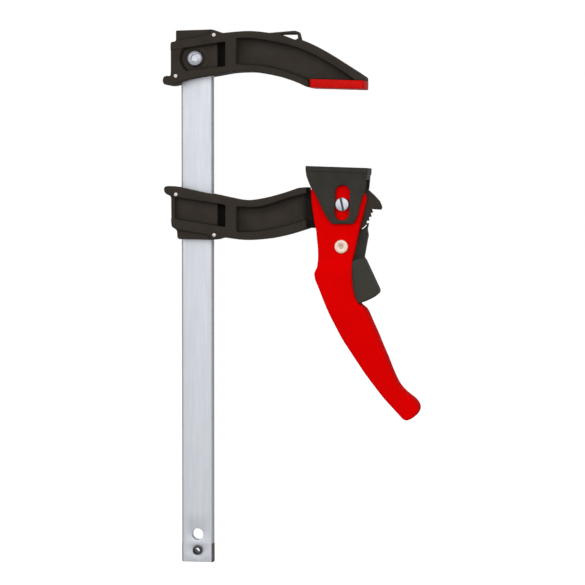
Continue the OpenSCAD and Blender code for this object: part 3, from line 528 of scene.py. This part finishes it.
sliding_ear = shares([[-0.17, 0.227], [-0.174, 0.185], [-0.202, 0.152], [-0.217, 0.112],
                      [-0.22, 0.048], [-0.213, 0.015]])
sliding_wall = shares([[0.11, 0.991], [-0.115, 0.982], [-0.128, 0.955], [-0.131, 0.833],
                       [-0.138, 0.797], [-0.165, 0.748], [-0.169, 0.664]])
arm_end = 68.5
sliding_low = curve(shares([
    [-0.193, 0], [-0.092, 0.036], [0.016, 0.097], [0.134, 0.158], [0.229, 0.212], [0.311, 0.252],
    [0.382, 0.258], [0.453, 0.239], [0.546, 0.188], [0.64, 0.118], [0.733, 0.036]]), 5)
sliding_high = curve(shares([[0.213, 0.948], [0.355, 0.991], [0.497, 0.973], [0.637, 0.9], [0.774, 0.79]]), 5)
sliding_outline = evened(sliding_place(np.vstack([
    sliding_low, [[arm_end, sliding_low[-1, 1] - 0.5], [arm_end, sliding_high[-1, 1] - 0.2]],
    sliding_high[::-1], shoulder, sliding_wall, sliding_ear])), 0.4, 0.35)
pocket_low = curve(shares([[0.295, 0.376], [0.435, 0.382], [0.536, 0.324], [0.657, 0.218], [0.779, 0.135]]), 4)
pocket_high = curve(shares([[0.295, 0.85], [0.435, 0.84], [0.556, 0.785], [0.657, 0.724], [0.779, 0.63]]), 4)
pocket_end = arm_end + 6
sliding_pocket = evened(sliding_place(np.vstack([
    pocket_low, [[pocket_end, pocket_low[-1, 1]], [pocket_end, pocket_high[-1, 1]]],
    pocket_high[::-1]])), 0.5, 0.7)
sliding_panel, sliding_open, sliding_deep, sliding_step = (
    evened(sliding_place(shape), step, soft) for shape, step, soft in (
        (shares([[-0.142, 0.197], [0.219, 0.348], [0.219, 0.758], [-0.142, 0.615]]), 0.5, 0.6),
        (shares([[-0.3, 0.131], [-0.1, 0.215], [-0.1, 0.632], [-0.3, 0.552]]), 0.5, 0.3),
        (deep_shape, 0.4, 0.3), (step_shape, 0.5, 0.3)))
sliding_recesses = sliding_pocket, sliding_panel, sliding_deep, sliding_step, sliding_open

pivot = np.array([3.4, -69.6])
tip_r, root_r, tooth_deg, first_tip = 18.0, 16.6, 9.0, -15.5


def polar(radius, degrees):
    """A point or points at a radius and an angle from level, about the origin."""
    a = np.radians(degrees)
    return np.stack([radius * np.cos(a), radius * np.sin(a)], -1)


tooth_at = first_tip - np.arange(6) * tooth_deg
root = np.where(np.arange(6) < 4, root_r, root_r + 1.3)[:, None]
sector = np.stack([root / root_r * polar(root_r, tooth_at + 5.7), polar(tip_r, tooth_at)], 1).reshape(-1, 2)
hook = tip_r * np.array([[0.5, 0.4], [0.79, 0.5], [1.02, 0.29], [1.19, 0.106], [1.27, -0.09], [1.245, -0.18]])
under = polar(1, np.linspace(tooth_at[-1] - 3.3, -118, 9)) * np.linspace(root_r + 1.2, root_r, 9)[:, None]
beside_beam = [[-27.4, -13.6], [-27.4, 7.2], [-22.4, 8.4], [-16.5, 8.4], [-13.5, 7.2]]
tongue = evened(pivot + np.vstack([beside_beam, hook, sector, under, [[-22.4, -14.2]]]), 0.35, 0.18)
tongue_half, tongue_round = 3.5, 0.5
pivot_bore = circle(*pivot, 3.05, 0.3)
sliding_bores = [*(circle(*at, pin_bore_r, 0.3) for at in pin_places(sliding_place)), pivot_bore]


def sliding_height(p):
    """The arm's height inside its own outline, but at least the tongue's where the tongue is."""
    own = depth_in(p, sliding_outline)
    h = arm_height(p, sliding_outline, *sliding_recesses)
    thin = tongue_half - edge_drop(np.maximum(depth_in(p, tongue), own - 0.4), tongue_round)
    rise = np.interp(depth_in(p, tongue), [0, 1.2], [web, tongue_half])
    return np.where(own > 0.0, np.maximum(h, rise), thin)


def in_shade(at):
    """The corners' painted shade, and a painted shadow of the lever on the tongue beside the beam's end."""
    near_end = np.interp(at[:, 0], [-22.5, -19.5, -13, -10], [0, 0.9, 0.9, 0])
    on_tongue = (np.abs(at[:, 1]) < 4) * (np.abs(at[:, 1]) > 2)
    return np.maximum(painted_corner_shade(*sliding_recesses)(at), near_end * on_tongue)


sliding_arm = piece("sliding_arm_casting", plate(
    [sliding_outline, tongue], sliding_height, holes=sliding_bores,
    lines=[(sliding_outline, [-0.06] + rounds), (tongue, round_insets(tongue_round)),
           *recess_lines(*sliding_recesses)]), "sliding_jaw", ["sliding_arm"], powder_coat)
cut_out(sliding_arm, rail_way)
mark(sliding_arm, in_shade)


# ---------------------------------------------------------------------------
# Arm screw, its nut and the four bite pins: bought steel parts. The button-head screw holds
# the fixed arm to the rail; the hardened pins bite the rail's teeth when an arm tilts.
# ---------------------------------------------------------------------------
def sleeve(rings, sides, ring=False):
    """Triangles between rings of points, each ring joined to the next. The ends are closed by
    two points after the rings, or the last ring is joined to the first."""
    i, j = np.meshgrid(np.arange(rings if ring else rings - 1), np.arange(sides), indexing="ij")
    a, b = i * sides + j, i * sides + (j + 1) % sides
    c, d = (i + 1) % rings * sides + (j + 1) % sides, (i + 1) % rings * sides + j
    faces = [np.stack([a, b, c], -1).reshape(-1, 3), np.stack([a, c, d], -1).reshape(-1, 3)]
    if not ring:
        n, base, k = rings * sides, (rings - 1) * sides, np.arange(sides)
        faces += [np.stack([np.full(sides, n), (k + 1) % sides, k], -1),
                  np.stack([np.full(sides, n + 1), base + k, base + (k + 1) % sides], -1)]
    return np.vstack(faces)


def turned(rows, at, sides=72, ring=False):
    """A side view carried round a line along y: rows of (y, radius) with, where it isn't round,
    a share of hexagon, whose radius is the flat's over the cosine of the angle from its middle.
    The ends are closed by a centre point, or the view by itself for a ring."""
    y, r, s = np.array([(*row, 0)[:3] for row in rows], float).T
    t = np.linspace(0, 2 * np.pi, sides, endpoint=False)
    corner = 1 / np.cos((t + np.pi / 6) % (np.pi / 3) - np.pi / 6)
    radius = r[:, None] * (1 + s[:, None] * (corner - 1))
    points = np.stack([at[0] + radius * np.sin(t), np.repeat(y[:, None], sides, 1),
                       at[1] + radius * np.cos(t)], -1).reshape(-1, 3)
    if not ring:
        points = np.vstack([points, [[at[0], y[0], at[1]], [at[0], y[-1], at[1]]]])
    return points, sleeve(len(rows), sides, ring)


def finish_of(name, colour, tones, grain, rough, relief=None, painted_shade=None, **shader):
    """A material with one shader. Its colour runs between two tones over a noise, its roughness
    and relief follow a second; a noise is (wave in metres, detail), roughness is the noise's
    range and its own, relief is (strength, height in metres), and painted_shade is the tone of
    the painted shade that the attribute "painted_shade" leads to."""
    material, surface = blank(name)
    place = add(material, "ShaderNodeTexCoord", {}).outputs["Object"]
    cloud, pebble = (add(material, "ShaderNodeTexNoise", {"Scale": 1 / wave, "Detail": detail},
                         Vector=place).outputs["Fac"] for wave, detail in (colour, grain))
    tone = add(material, "ShaderNodeValToRGB", {"stops": tones}, Fac=cloud).outputs["Color"]
    if painted_shade:
        depth = add(material, "ShaderNodeAttribute", {"attribute_name": "painted_shade"}).outputs["Fac"]
        tone = add(material, "ShaderNodeMix", {"data_type": "RGBA", 7: linear(painted_shade)},
                   Factor=depth, n6=tone).outputs[2]
    limits = dict(zip(("From Min", "From Max", "To Min", "To Max"), rough))
    rough_at = add(material, "ShaderNodeMapRange", limits, Value=pebble).outputs[0]
    links = {"Base_Color": tone, "Roughness": rough_at}
    if relief:
        raised = dict(zip(("Strength", "Distance"), relief))
        links["Normal"] = add(material, "ShaderNodeBump", raised, Height=pebble).outputs[0]
    settings = {key.replace("_", " "): value for key, value in shader.items()}
    made = add(material, "ShaderNodeBsdfPrincipled", settings, **links)
    material.node_tree.links.new(made.outputs["BSDF"], surface)
    return material


# Bright zinc on a machined head: nearly white, with a grain of 1.6 mm, and a dark grey painted shade where the
# attribute marks the slot
bright_zinc = finish_of("bright_zinc_on_turned_steel", (0.0016, 2.0), ((0.3, "#a6a8af"), (0.7, "#b6b8bf")),
                        (0.0016, 2.0), (0.3, 0.7, 0.3, 0.42), (0.1, 0.0001), painted_shade="#4c4e58", Metallic=1.0)

socket, head_r, shank_r = 2.0, 5.25, 3.0
dome = [[-7.25 - 3.3 * np.sqrt(1 - (r / head_r) ** 3), r] for r in (3.0, 3.7, 4.2, 4.6, 4.9, 5.1, 5.2)]
screw = turned([[-8.9, socket * 0.4, 1], [-8.95, socket, 1], [-10.2, socket, 1], [-10.42, socket + 0.15, 0.9],
                *dome, [-7.5, head_r], [-7.3, head_r], [-7.25, head_r - 0.06], [-7.25, shank_r],
                [8.4, shank_r], [8.75, shank_r - 0.4]], screw_at)
piece("arm_screw", screw, "clamp_body", ["fixed_arm_screw"], bright_zinc, sharp=55)
nut = turned([[4.75, 4.75], [5.2, 5.0, 1], [9.3, 5.0, 1], [9.75, 4.75], [9.75, 3.4], [9.6, 3.1], [4.75, 3.1]],
             screw_at, ring=True)
piece("arm_screw_nut", nut, "clamp_body", ["fixed_arm_nut"], bright_zinc, sharp=35)

# Hardened steel, ground: a bright plain grey end with the finest grain
ground_steel = finish_of("ground_hardened_steel", (0.0004, 2.0), ((0.3, "#b6b2ad"), (0.7, "#cbc7c2")),
                         (0.0004, 2.0), (0, 1, 0.4, 0.5), Metallic=1.0)


def pin(at, half, radius):
    """A plain round pin with a small round at each end."""
    view = np.array([[-half, radius - 0.45], [-half + 0.12, radius - 0.18], [-half + 0.45, radius]])
    return turned(np.vstack([view, view[::-1] * [-1, 1]]), at, 40)


(fixed_left, fixed_right), (sliding_left, sliding_right) = pin_places(fixed_place), pin_places(sliding_place)
for name, node, at, body in (("bite_pin_fixed_low", "fixed_lower_pin", fixed_left, "clamp_body"),
                             ("bite_pin_fixed_high", "fixed_upper_pin", fixed_right, "clamp_body"),
                             ("bite_pin_sliding_high", "sliding_upper_pin", sliding_left, "sliding_jaw"),
                             ("bite_pin_sliding_low", "sliding_lower_pin", sliding_right, "sliding_jaw")):
    piece(name, pin(at, 9.3, 1.5), body, [node], ground_steel, sharp=50)


# ---------------------------------------------------------------------------
# Stop pin: a rolled spring-steel pin, left dark from hardening, driven into the rail's end
# so that the sliding arm can't run off.
# ---------------------------------------------------------------------------
# Blued spring steel: blue black, satin
blued_steel = finish_of("blued_spring_steel", (0.0008, 3.0), ((0.3, "#3a3940"), (0.7, "#55545a")),
                        (0.0008, 3.0), (0, 1, 0.3, 0.5), Metallic=1.0)

stop_at, stop_r, stop_wall = np.array([rail_mid, stop_z]), 2.68, 0.95
bent = np.linspace(188, 532, 60)
rolled = evened(stop_at + np.vstack([polar(stop_r, bent), polar(stop_r - stop_wall, bent[::-1])]), 0.25, 0.08)
stop_half, stop_round = 4.9, 0.25
piece("stop_pin", plate([rolled], lambda p: stop_half - edge_drop(depth_in(p, rolled), stop_round),
                        lines=[(rolled, round_insets(stop_round))], fill=0.8),
      "clamp_body", ["rail_stop_pin"], blued_steel, sharp=50)


# ---------------------------------------------------------------------------
# Jaw cap: a soft red plastic cap, moulded, pushed over the fixed jaw's plate so that it
# doesn't mark the work.
# ---------------------------------------------------------------------------
# Soft vinyl, moulded: an even deep red with a slight sheen and a very fine pebble
soft_vinyl = finish_of("soft_vinyl", (0.01, 2.0), ((0.3, "#cd0a04"), (0.7, "#d80e07")),
                       (0.0009, 2.0), (0, 1, 0.5, 0.6), (0.12, 0.0001), IOR=1.5, Specular_IOR_Level=0.07)


def box_outline(half_x, half_z, corner, step=0.4):
    """A rectangle with round corners: four quarter circles joined by straight sides."""
    centre = np.array([[1, 1], [-1, 1], [-1, -1], [1, -1]]) * [half_x - corner, half_z - corner]
    corners = [c + polar(corner, np.linspace(90 * i, 90 * i + 90, 9)) for i, c in enumerate(centre)]
    return evened(np.vstack(corners), step)


cap_out, cap_in = box_outline(16.7, 10.0, 2.0), box_outline(jaw_half_x, 8.4, 0.8)
cap_rows = recess(5.0, 2.2, 0.3, 0.5, 0.1)
cap_points, cap_faces = plate(
    [cap_out], lambda p: np.interp(depth_in(p, cap_in), *cap_rows.T) - edge_drop(depth_in(p, cap_out), 0.4),
    lambda p: -edge_drop(depth_in(p, cap_out), 0.5),
    lines=[(cap_out, round_insets(0.5) + [0.4]), (cap_in, insets_of(cap_rows))])
piece("jaw_cap", (tilted(cap_points[:, 0], cap_points[:, 2], -cap_points[:, 1]), cap_faces),
      "clamp_body", ["fixed_jaw_cap"], soft_vinyl)


# ---------------------------------------------------------------------------
# Pressure head: pressed from thick steel and blackened, a top wall with two side plates that
# slide on the pivot's heads in long slots. The cam lifts it under its top wall.
# ---------------------------------------------------------------------------
# Black oxide on steel, oiled: a warm dark grey satin, cloudy at 8 mm
black_oxide = finish_of("black_oxide_on_steel", (0.008, 4.0), ((0.3, "#2b2924"), (0.7, "#35332c")),
                        (0.0008, 2.0), (0.3, 0.7, 0.55, 0.65), (0.1, 0.0001), IOR=1.5, Specular_IOR_Level=0.16)


def turn(p, degrees):
    """Turns points clockwise, as the front shows them; one angle, or one for each point."""
    a = np.radians(degrees)
    x, z = p[..., 0], p[..., 1]
    return np.stack([x * np.cos(a) + z * np.sin(a), z * np.cos(a) - x * np.sin(a)], -1)


def head_place(p):
    """The head's own coordinates, square to its travel, in the frame: turned 2 degrees about
    the pivot."""
    return pivot + turn(np.asarray(p, float), 2.0)


left_x, face_z, lip_x = 23.011, 22.3, 14.589
head_left = curve(np.array([
    [-1, 0.92], [-0.978, 0.758], [-0.922, 0.6], [-0.85, 0.44], [-0.77, 0.336], [-0.66, 0.126],
    [-0.552, -0.092], [-0.43, -0.303], [-0.278, -0.511], [-0.196, -0.538]]) * [left_x, face_z], 4)
head_right = curve(np.array([[0.222, -0.52], [0.326, -0.487], [0.417, -0.269], [0.463, -0.049],
                             [0.513, 0.166], [0.587, 0.408], [0.613, 0.812]]) * [left_x, face_z], 4)
head_outline = evened(head_place(np.vstack([
    [[-left_x, face_z]], head_left, head_right, [[lip_x, face_z * 0.812], [lip_x, face_z]]])), 0.4, 0.3)
slot_r, slot_up, slot_down = 4.4, 7.2, -5.3
slot_outline = evened(head_place(np.vstack([polar(slot_r, np.linspace(0, 180, 25)) + [0, slot_up],
                                            polar(slot_r, np.linspace(180, 360, 25)) + [0, slot_down]])), 0.35)
head_half, head_round, slot_round, lip_z, lip_step = 10.0, 0.7, 0.35, 19.5, 0.4
lip_lines = np.vstack([head_place(np.stack([np.linspace(-21.5, 12.5, 90), np.full(90, z)], 1))
                       for z in (lip_z, lip_z - lip_step)])


def head_height(p):
    """Half the head's width, 0.4 mm less under the lip along its top, with rounded edges."""
    up = turn(p - pivot, -2.0)[:, 1]
    under_lip = np.interp(up, [lip_z - lip_step, lip_z], [lip_step, 0])
    return (head_half - under_lip - edge_drop(depth_in(p, head_outline), head_round)
            - edge_drop(-depth_in(p, slot_outline), slot_round))


head = piece("pressure_head_pressing", plate(
    [head_outline], head_height, holes=[slot_outline],
    lines=[(head_outline, round_insets(head_round)), (slot_outline, [-s for s in round_insets(slot_round)]),
           (lip_lines, (0,))]), "moving_head", ["pressure_head"], black_oxide)
inside_head = [[-30, -20], [30, -20], [30, 15.3], [12, 15.3], [12, 18.1], [-10, 18.1], [-10, 14.25], [-30, 14.25]]
cut_out(head, block(head_place(inside_head), 7.4))


# ---------------------------------------------------------------------------
# Lever: injection moulded in one piece in bright red glass-filled nylon, two cheeks with the
# cam at the top, joined to a hollow handle with a groove along its inner side.
# ---------------------------------------------------------------------------
# Glass-filled nylon, moulded: a strong even red, dull, with flow marks of about 15 mm
nylon = finish_of("glass_filled_nylon", (0.015, 3.0), ((0.3, "#e60000"), (0.7, "#ee0000")),
                  (0.0008, 2.0), (0.3, 0.7, 0.72, 0.8), (0.08, 0.0001), IOR=1.5, Specular_IOR_Level=0.02)

cam_lead, cam_h, fork, trigger_r, grip_len = 12.0, 14.1, 31.4, 35.9, 98.0
swing = np.linspace(18, -27, 25)
cam = turn(turn(np.stack([np.full(25, -cam_lead), cam_h + cam_lead * np.radians(swing)], 1), -swing), 2.0)
cheek_left = curve(fork * np.array([
    [-0.585, 0.344], [-0.623, 0.255], [-0.615, 0.105], [-0.6, -0.05], [-0.575, -0.204],
    [-0.555, -0.357], [-0.52, -0.51], [-0.505, -0.665], [-0.488, -0.82]]), 4)
cheek_right = curve(fork * np.array([
    [0.428, 0.214], [0.455, 0.1], [0.425, -0.05], [0.385, -0.204],
    [0.344, -0.357], [0.312, -0.51], [0.277, -0.662], [0.248, -0.815]]), 4)
mouth_left = trigger_r * np.array([
    [-0.423, -0.841], [-0.423, -0.917], [-0.434, -1.054], [-0.483, -1.152], [-0.47, -1.256]])
mouth_right = trigger_r * np.array([
    [0.186, -0.841], [0.169, -0.914], [0.153, -1.048], [0.153, -1.147], [0.156, -1.248]])
grip_top = [0, 1.25 * trigger_r]
grip_left = grip_len * np.array([
    [-0.142, -0.075], [-0.113, -0.148], [-0.08, -0.222], [-0.042, -0.295], [-0.002, -0.369],
    [0.045, -0.441], [0.094, -0.514], [0.144, -0.587], [0.199, -0.659], [0.257, -0.732],
    [0.324, -0.804], [0.378, -0.862]]) - grip_top
grip_right = grip_len * np.array([
    [0.067, -0.073], [0.077, -0.109], [0.1, -0.154], [0.139, -0.189], [0.173, -0.262],
    [0.207, -0.336], [0.237, -0.409], [0.269, -0.482], [0.298, -0.556], [0.332, -0.629],
    [0.357, -0.666], [0.393, -0.702], [0.441, -0.739], [0.466, -0.775], [0.466, -0.812],
    [0.438, -0.849], [0.4, -0.867]]) - grip_top
inner_side = np.vstack([mouth_left, grip_left])
top_arc = polar(cam_h * 0.858, np.linspace(112, 55, 12))
lever_outline = evened(pivot + np.vstack([
    curve(grip_left, 4)[::-1], mouth_left[::-1], cheek_left[::-1], cam, top_arc,
    cheek_right, mouth_right, curve(grip_right, 4)]), 0.4, 0.55)
lever_round, cheeks_half, grip_more, rise_from, rise_len = 1.3, 7.0, 1.5, -30.5, 12.0


def lever_height(p):
    """Half the lever's width: the cheeks' above, the handle's below, with a slow rise between
    them under the rivet, less the rounded edge."""
    low = np.clip((rise_from - (p[:, 1] - pivot[1])) / rise_len, 0, 1)
    return cheeks_half + grip_more * low * low * (3 - 2 * low) - edge_drop(depth_in(p, lever_outline), lever_round)


def moved_in(line, inset):
    """An open line moved to its left by the inset."""
    along = np.gradient(line, axis=0)
    return line + inset * np.stack([-along[:, 1], along[:, 0]], 1) / np.hypot(*along.T)[:, None]


rivet = np.array([-0.7, -25.4])
wall_line = moved_in(inner_side, 3.5)
lever_bores = [pivot_bore, circle(*(pivot + rivet), 2.03, 0.3)]
wall_x, grip_part = wall_line[2, 0], slice(8, 16)
cheek_space = np.array([[-40, 30], [-40, -20.9], [-12.4, -20.9], [wall_x, -28.3],
                        [wall_x, -34], [36, -34], [36, 30]])
trigger_path = rivet + polar(trigger_r + 0.4, np.linspace(-104, -62, 11))
trigger_space = np.vstack([[[wall_x, -32.97]], wall_line[2:6], trigger_path, [[36, -32.97]]])
groove = np.vstack([moved_in(inner_side, 8.0)[grip_part], moved_in(inner_side, -1.0)[grip_part][::-1]])
lever = piece("lever_moulding", plate([lever_outline], lever_height, holes=lever_bores,
                                      lines=[(lever_outline, round_insets(lever_round))]),
              "lever_group", ["lever"], nylon)
cheek_half, trigger_half, groove_half = 4.0, 6.5, 4.5
cut_out(lever, block(pivot + cheek_space, cheek_half), block(pivot + trigger_space, trigger_half),
        block(evened(pivot + groove, 0.6, 1.0), groove_half))


# ---------------------------------------------------------------------------
# Pivot bolt with its round nut, and the pawl's rivet: turned steel. Their heads stand in the
# pressure head's slots and on the lever's cheeks.
# ---------------------------------------------------------------------------
bolt = piece("pivot_bolt_turned", turned([
    [-10.0, 3.6], [-9.9, 3.85], [-9.65, 4.05], [-9.3, 4.1], [-7.05, 4.1], [-7.05, 3.0],
    [7.0, 3.0], [7.0, 2.49], [8.6, 2.49], [8.8, 2.2]], pivot),
    "lever_group", ["pivot_bolt"], bright_zinc, sharp=35)
slot_half_x, slot_half_z, slot_depth, slot_angle = 0.7, 5, 1.9, 12.0
bolt_slot = turn(np.array([[-slot_half_x, -slot_half_z], [slot_half_x, -slot_half_z],
                           [slot_half_x, slot_half_z], [-slot_half_x, slot_half_z]]), slot_angle) * [-1, 1]
slot_points, slot_faces = block(pivot + bolt_slot, slot_depth)
cut_out(bolt, (slot_points + [0, -10.0, 0], slot_faces))
# Painted shade: the slot's floor is marked for the bright zinc's dark grey tone
mark(bolt, lambda at: (at[:, 1] > -8.3) & (at[:, 1] < -7.9))
piece("pivot_nut_turned", turned([
    [7.05, 4.1], [9.4, 4.1], [9.7, 4.05], [10.0, 3.8], [10.0, 2.75], [9.8, 2.55], [7.05, 2.55]], pivot, ring=True),
    "lever_group", ["pivot_nut"], bright_zinc, sharp=35)

# Yellow passivated zinc, faded: ivory with a faint warm cloud, satin
yellow_zinc = finish_of("yellow_passivated_zinc", (0.003, 3.0), ((0.3, "#c8b1a2"), (0.7, "#d9c5b5")),
                        (0.003, 3.0), (0, 1, 0.38, 0.52), Metallic=1.0)
piece("pawl_rivet_turned", turned([
    [-7.6, 0.3], [-7.75, 0.7], [-8.2, 1.04], [-8.45, 1.3], [-8.45, 3.7], [-8.33, 3.98], [-8.05, 4.15],
    [-7.3, 4.15], [-7.05, 4.05], [-7.05, 2.0], [7.05, 2.0], [7.05, 4.05], [7.3, 4.15],
    [8.05, 4.15], [8.33, 3.98], [8.45, 3.7]], pivot + rivet),
    "lever_group", ["pawl_rivet"], yellow_zinc, sharp=50)


# ---------------------------------------------------------------------------
# Pawl, its release trigger and its spring: a blanked steel pawl on the rivet, a plastic
# trigger moulded round its tail, and a torsion spring of hard wire beside it.
# ---------------------------------------------------------------------------
gap_at = first_tip - 2 * tooth_deg - 3.3
nose = np.array([[1.006, -25], [1.006, -13], [1.006, -5.8], [0.953, -1.5], [0.972, -0.2], [1.005, -2.4]])
nose = rivet + turn(polar(tip_r * nose[:, 0], gap_at + nose[:, 1]) - rivet, 2.6)
tail = tip_r * np.array([[0.78, -2.06], [0.76, -2.6], [0.5, -2.65], [0.36, -2.2], [0.2, -1.83]])
pawl_right = tip_r * np.array([
    [0.778, -0.828], [0.811, -1.033], [0.794, -1.133], [0.756, -1.333], [0.722, -1.539], [0.683, -1.75]])
pawl_eye = rivet + polar(6.0, np.linspace(250, 60, 20))
pawl_outline = evened(pivot + np.vstack([pawl_eye, nose, curve(pawl_right, 3), tail]), 0.35, 0.15)
pawl_half, pawl_round = 3.0, 0.4
rivet_bore = circle(*(pivot + rivet), 2.05, 0.3)
coil_space = circle(*(pivot + rivet), 6.5)


def pawl_back(p):
    """The pawl's back: cut down to the middle in a circle round the rivet, for the spring."""
    full = np.where(depth_in(p, coil_space) > 0, 0.0, pawl_half)
    return full - 0.3 * edge_drop(depth_in(p, pawl_outline), pawl_round)


piece("pawl_blank", plate(
    [pawl_outline], lambda p: pawl_half - edge_drop(depth_in(p, pawl_outline), pawl_round), pawl_back,
    holes=[rivet_bore], lines=[(pawl_outline, round_insets(pawl_round)), (coil_space, [0, 0.05])]),
    "pawl_group", ["pawl"], black_oxide)

# ABS, moulded with a spark-eroded texture: dark warm grey, dull
abs_plastic = finish_of("textured_abs", (0.0009, 3.0), ((0.3, "#383731"), (0.7, "#413f39")),
                        (0.0009, 3.0), (0, 1, 0.65, 0.75), (0.25, 0.00012), IOR=1.53, Specular_IOR_Level=0.16)

trigger_back = tip_r * np.array([[0.655, -1.78], [0.725, -1.85], [1.2, -2.861], [1.189, -2.96]])
trigger_outline = evened(pivot + np.vstack([
    trigger_back, rivet + polar(trigger_r, np.linspace(-56.4, -87, 12)), [[1.8, -35.1]]]), 0.35, 0.3)
pad_half, pad_round = 6.2, 0.9
piece("trigger_moulding", plate([trigger_outline],
                                lambda p: pad_half - edge_drop(depth_in(p, trigger_outline), pad_round),
                                lines=[(trigger_outline, round_insets(pad_round))]),
      "pawl_group", ["release_trigger"], abs_plastic)

wire_r, coil_r, coil_low, coil_high, turns = 0.45, 2.9, 0.65, 3.5, 2.25
along = np.linspace(0, 1, 91)
angle = np.radians(110 - 360 * turns * along)
centre = pivot + rivet
coil = np.stack([centre[0] + coil_r * np.cos(angle), coil_low + (coil_high - coil_low) * along,
                 centre[1] + coil_r * np.sin(angle)], 1)
tangent = np.stack([np.sin(angle), 0 * angle, -np.cos(angle)], 1)
leg = 3.4 * coil_r * np.linspace(0, 1, 6)[1:, None]
path = np.vstack([(coil[0] - leg * tangent[0])[::-1], coil, coil[-1] + leg * tangent[-1]])


def wire(line, radius, sides=12):
    """A round tube: a circle carried along a line, square to it, closed at both ends."""
    t = np.gradient(line, axis=0)
    t /= np.linalg.norm(t, axis=1)[:, None]
    u = np.cross(t, [0.0, 1.0, 0.0])
    u /= np.linalg.norm(u, axis=1)[:, None]
    w = np.cross(u, t)
    a = np.linspace(0, 2 * np.pi, sides, endpoint=False)[None, :, None]
    points = (line[:, None] + radius * (u[:, None] * np.cos(a) + w[:, None] * np.sin(a))).reshape(-1, 3)
    return np.vstack([points, line[:1], line[-1:]]), sleeve(len(line), sides)


piece("pawl_spring_wire", wire(path, wire_r),
      "lever_group", ["pawl_spring"], ground_steel, sharp=60)


# ---------------------------------------------------------------------------
# Floor, light and camera: a plain white studio floor, soft even light from a white room and
# two large lamps, and a long lens 1.4 m away, as the photograph was taken.
# ---------------------------------------------------------------------------
floor_mesh = bpy.data.meshes.new("floor")
side, near, far, ground = 6, -3, 9, rail_low / 1000
floor_mesh.from_pydata([(-side, near, ground), (side, near, ground), (side, far, ground), (-side, far, ground)],
                       [], [(0, 1, 2, 3)])
floor = bpy.data.objects.new("floor", floor_mesh)
bpy.context.scene.collection.objects.link(floor)
white_floor, surface = blank("white_studio_floor")
seen = add(white_floor, "ShaderNodeLightPath", {}).outputs
mirrored = add(white_floor, "ShaderNodeMath", {"operation": "MULTIPLY", 1: 0.6}, n0=seen["Is Glossy Ray"])
shown = add(white_floor, "ShaderNodeMath", {"operation": "MAXIMUM"},
            n0=seen["Is Camera Ray"], n1=mirrored.outputs[0])
lift = add(white_floor, "ShaderNodeMath", {"operation": "MULTIPLY", 1: 0.9}, n0=shown.outputs[0]).outputs[0]
paint = add(white_floor, "ShaderNodeBsdfDiffuse", {"Color": linear("#a8a8a8")}).outputs[0]
glow = add(white_floor, "ShaderNodeEmission", {"Color": linear("#ffffff")}, Strength=lift).outputs[0]
joined = add(white_floor, "ShaderNodeAddShader", {}, n0=paint, n1=glow).outputs[0]
white_floor.node_tree.links.new(joined, surface)
floor_mesh.materials.append(white_floor)

world = bpy.data.worlds.new("white_room")
bpy.context.scene.world = world
world.use_nodes = True
world.node_tree.nodes.clear()
seen = add(world, "ShaderNodeLightPath", {}).outputs
mirrored = add(world, "ShaderNodeMath", {"operation": "MULTIPLY", 1: 0.15}, n0=seen["Is Glossy Ray"])
shown = add(world, "ShaderNodeMath", {"operation": "MAXIMUM"}, n0=seen["Is Camera Ray"], n1=mirrored.outputs[0])
clear = add(world, "ShaderNodeMath", {"operation": "MAXIMUM"}, n0=shown.outputs[0], n1=seen["Is Transmission Ray"])
room, sky = (add(world, "ShaderNodeBackground", {"Color": linear("#ffffff"), "Strength": strength}).outputs[0]
             for strength in (0.5, 1.0))
chosen = add(world, "ShaderNodeMixShader", {}, Fac=clear.outputs[0], n1=room, n2=sky).outputs[0]
add(world, "ShaderNodeOutputWorld", {}, Surface=chosen)


def lamp(name, place, aim, size, watts):
    """A square area lamp at a place, turned to face the aim."""
    data = bpy.data.lights.new(name, "AREA")
    data.size, data.energy = size, watts
    thing = bpy.data.objects.new(name, data)
    bpy.context.scene.collection.objects.link(thing)
    away = np.array(place, float) - aim
    across = np.cross([0, 0, 1.0], away)
    across /= np.linalg.norm(across)
    away /= np.linalg.norm(away)
    basis = np.eye(4)
    basis[:3, :3] = np.stack([across, np.cross(away, across), away], 1)
    basis[:3, 3] = place
    thing.matrix_world = Matrix(basis.tolist())
    return thing


lamp("key_lamp", (-0.7, -2.0, 0.0), (0, 0, -0.12), 2.8, 34.0)
lamp("fill_lamp", (1.2, -1.8, 0.3), (0, 0, -0.12), 2.0, 13.5)

view = bpy.data.cameras.new("camera")
view.lens, view.sensor_width = 145.97, 36.0
camera = bpy.data.objects.new("camera", view)
bpy.context.scene.collection.objects.link(camera)
camera.location = (0.2163, -1.4187, -0.0645)
camera.rotation_euler = (np.radians(90 - 2.334), np.radians(-0.016), np.radians(9.786))
bpy.context.scene.camera = camera
bpy.context.scene.view_settings.view_transform = "Standard"
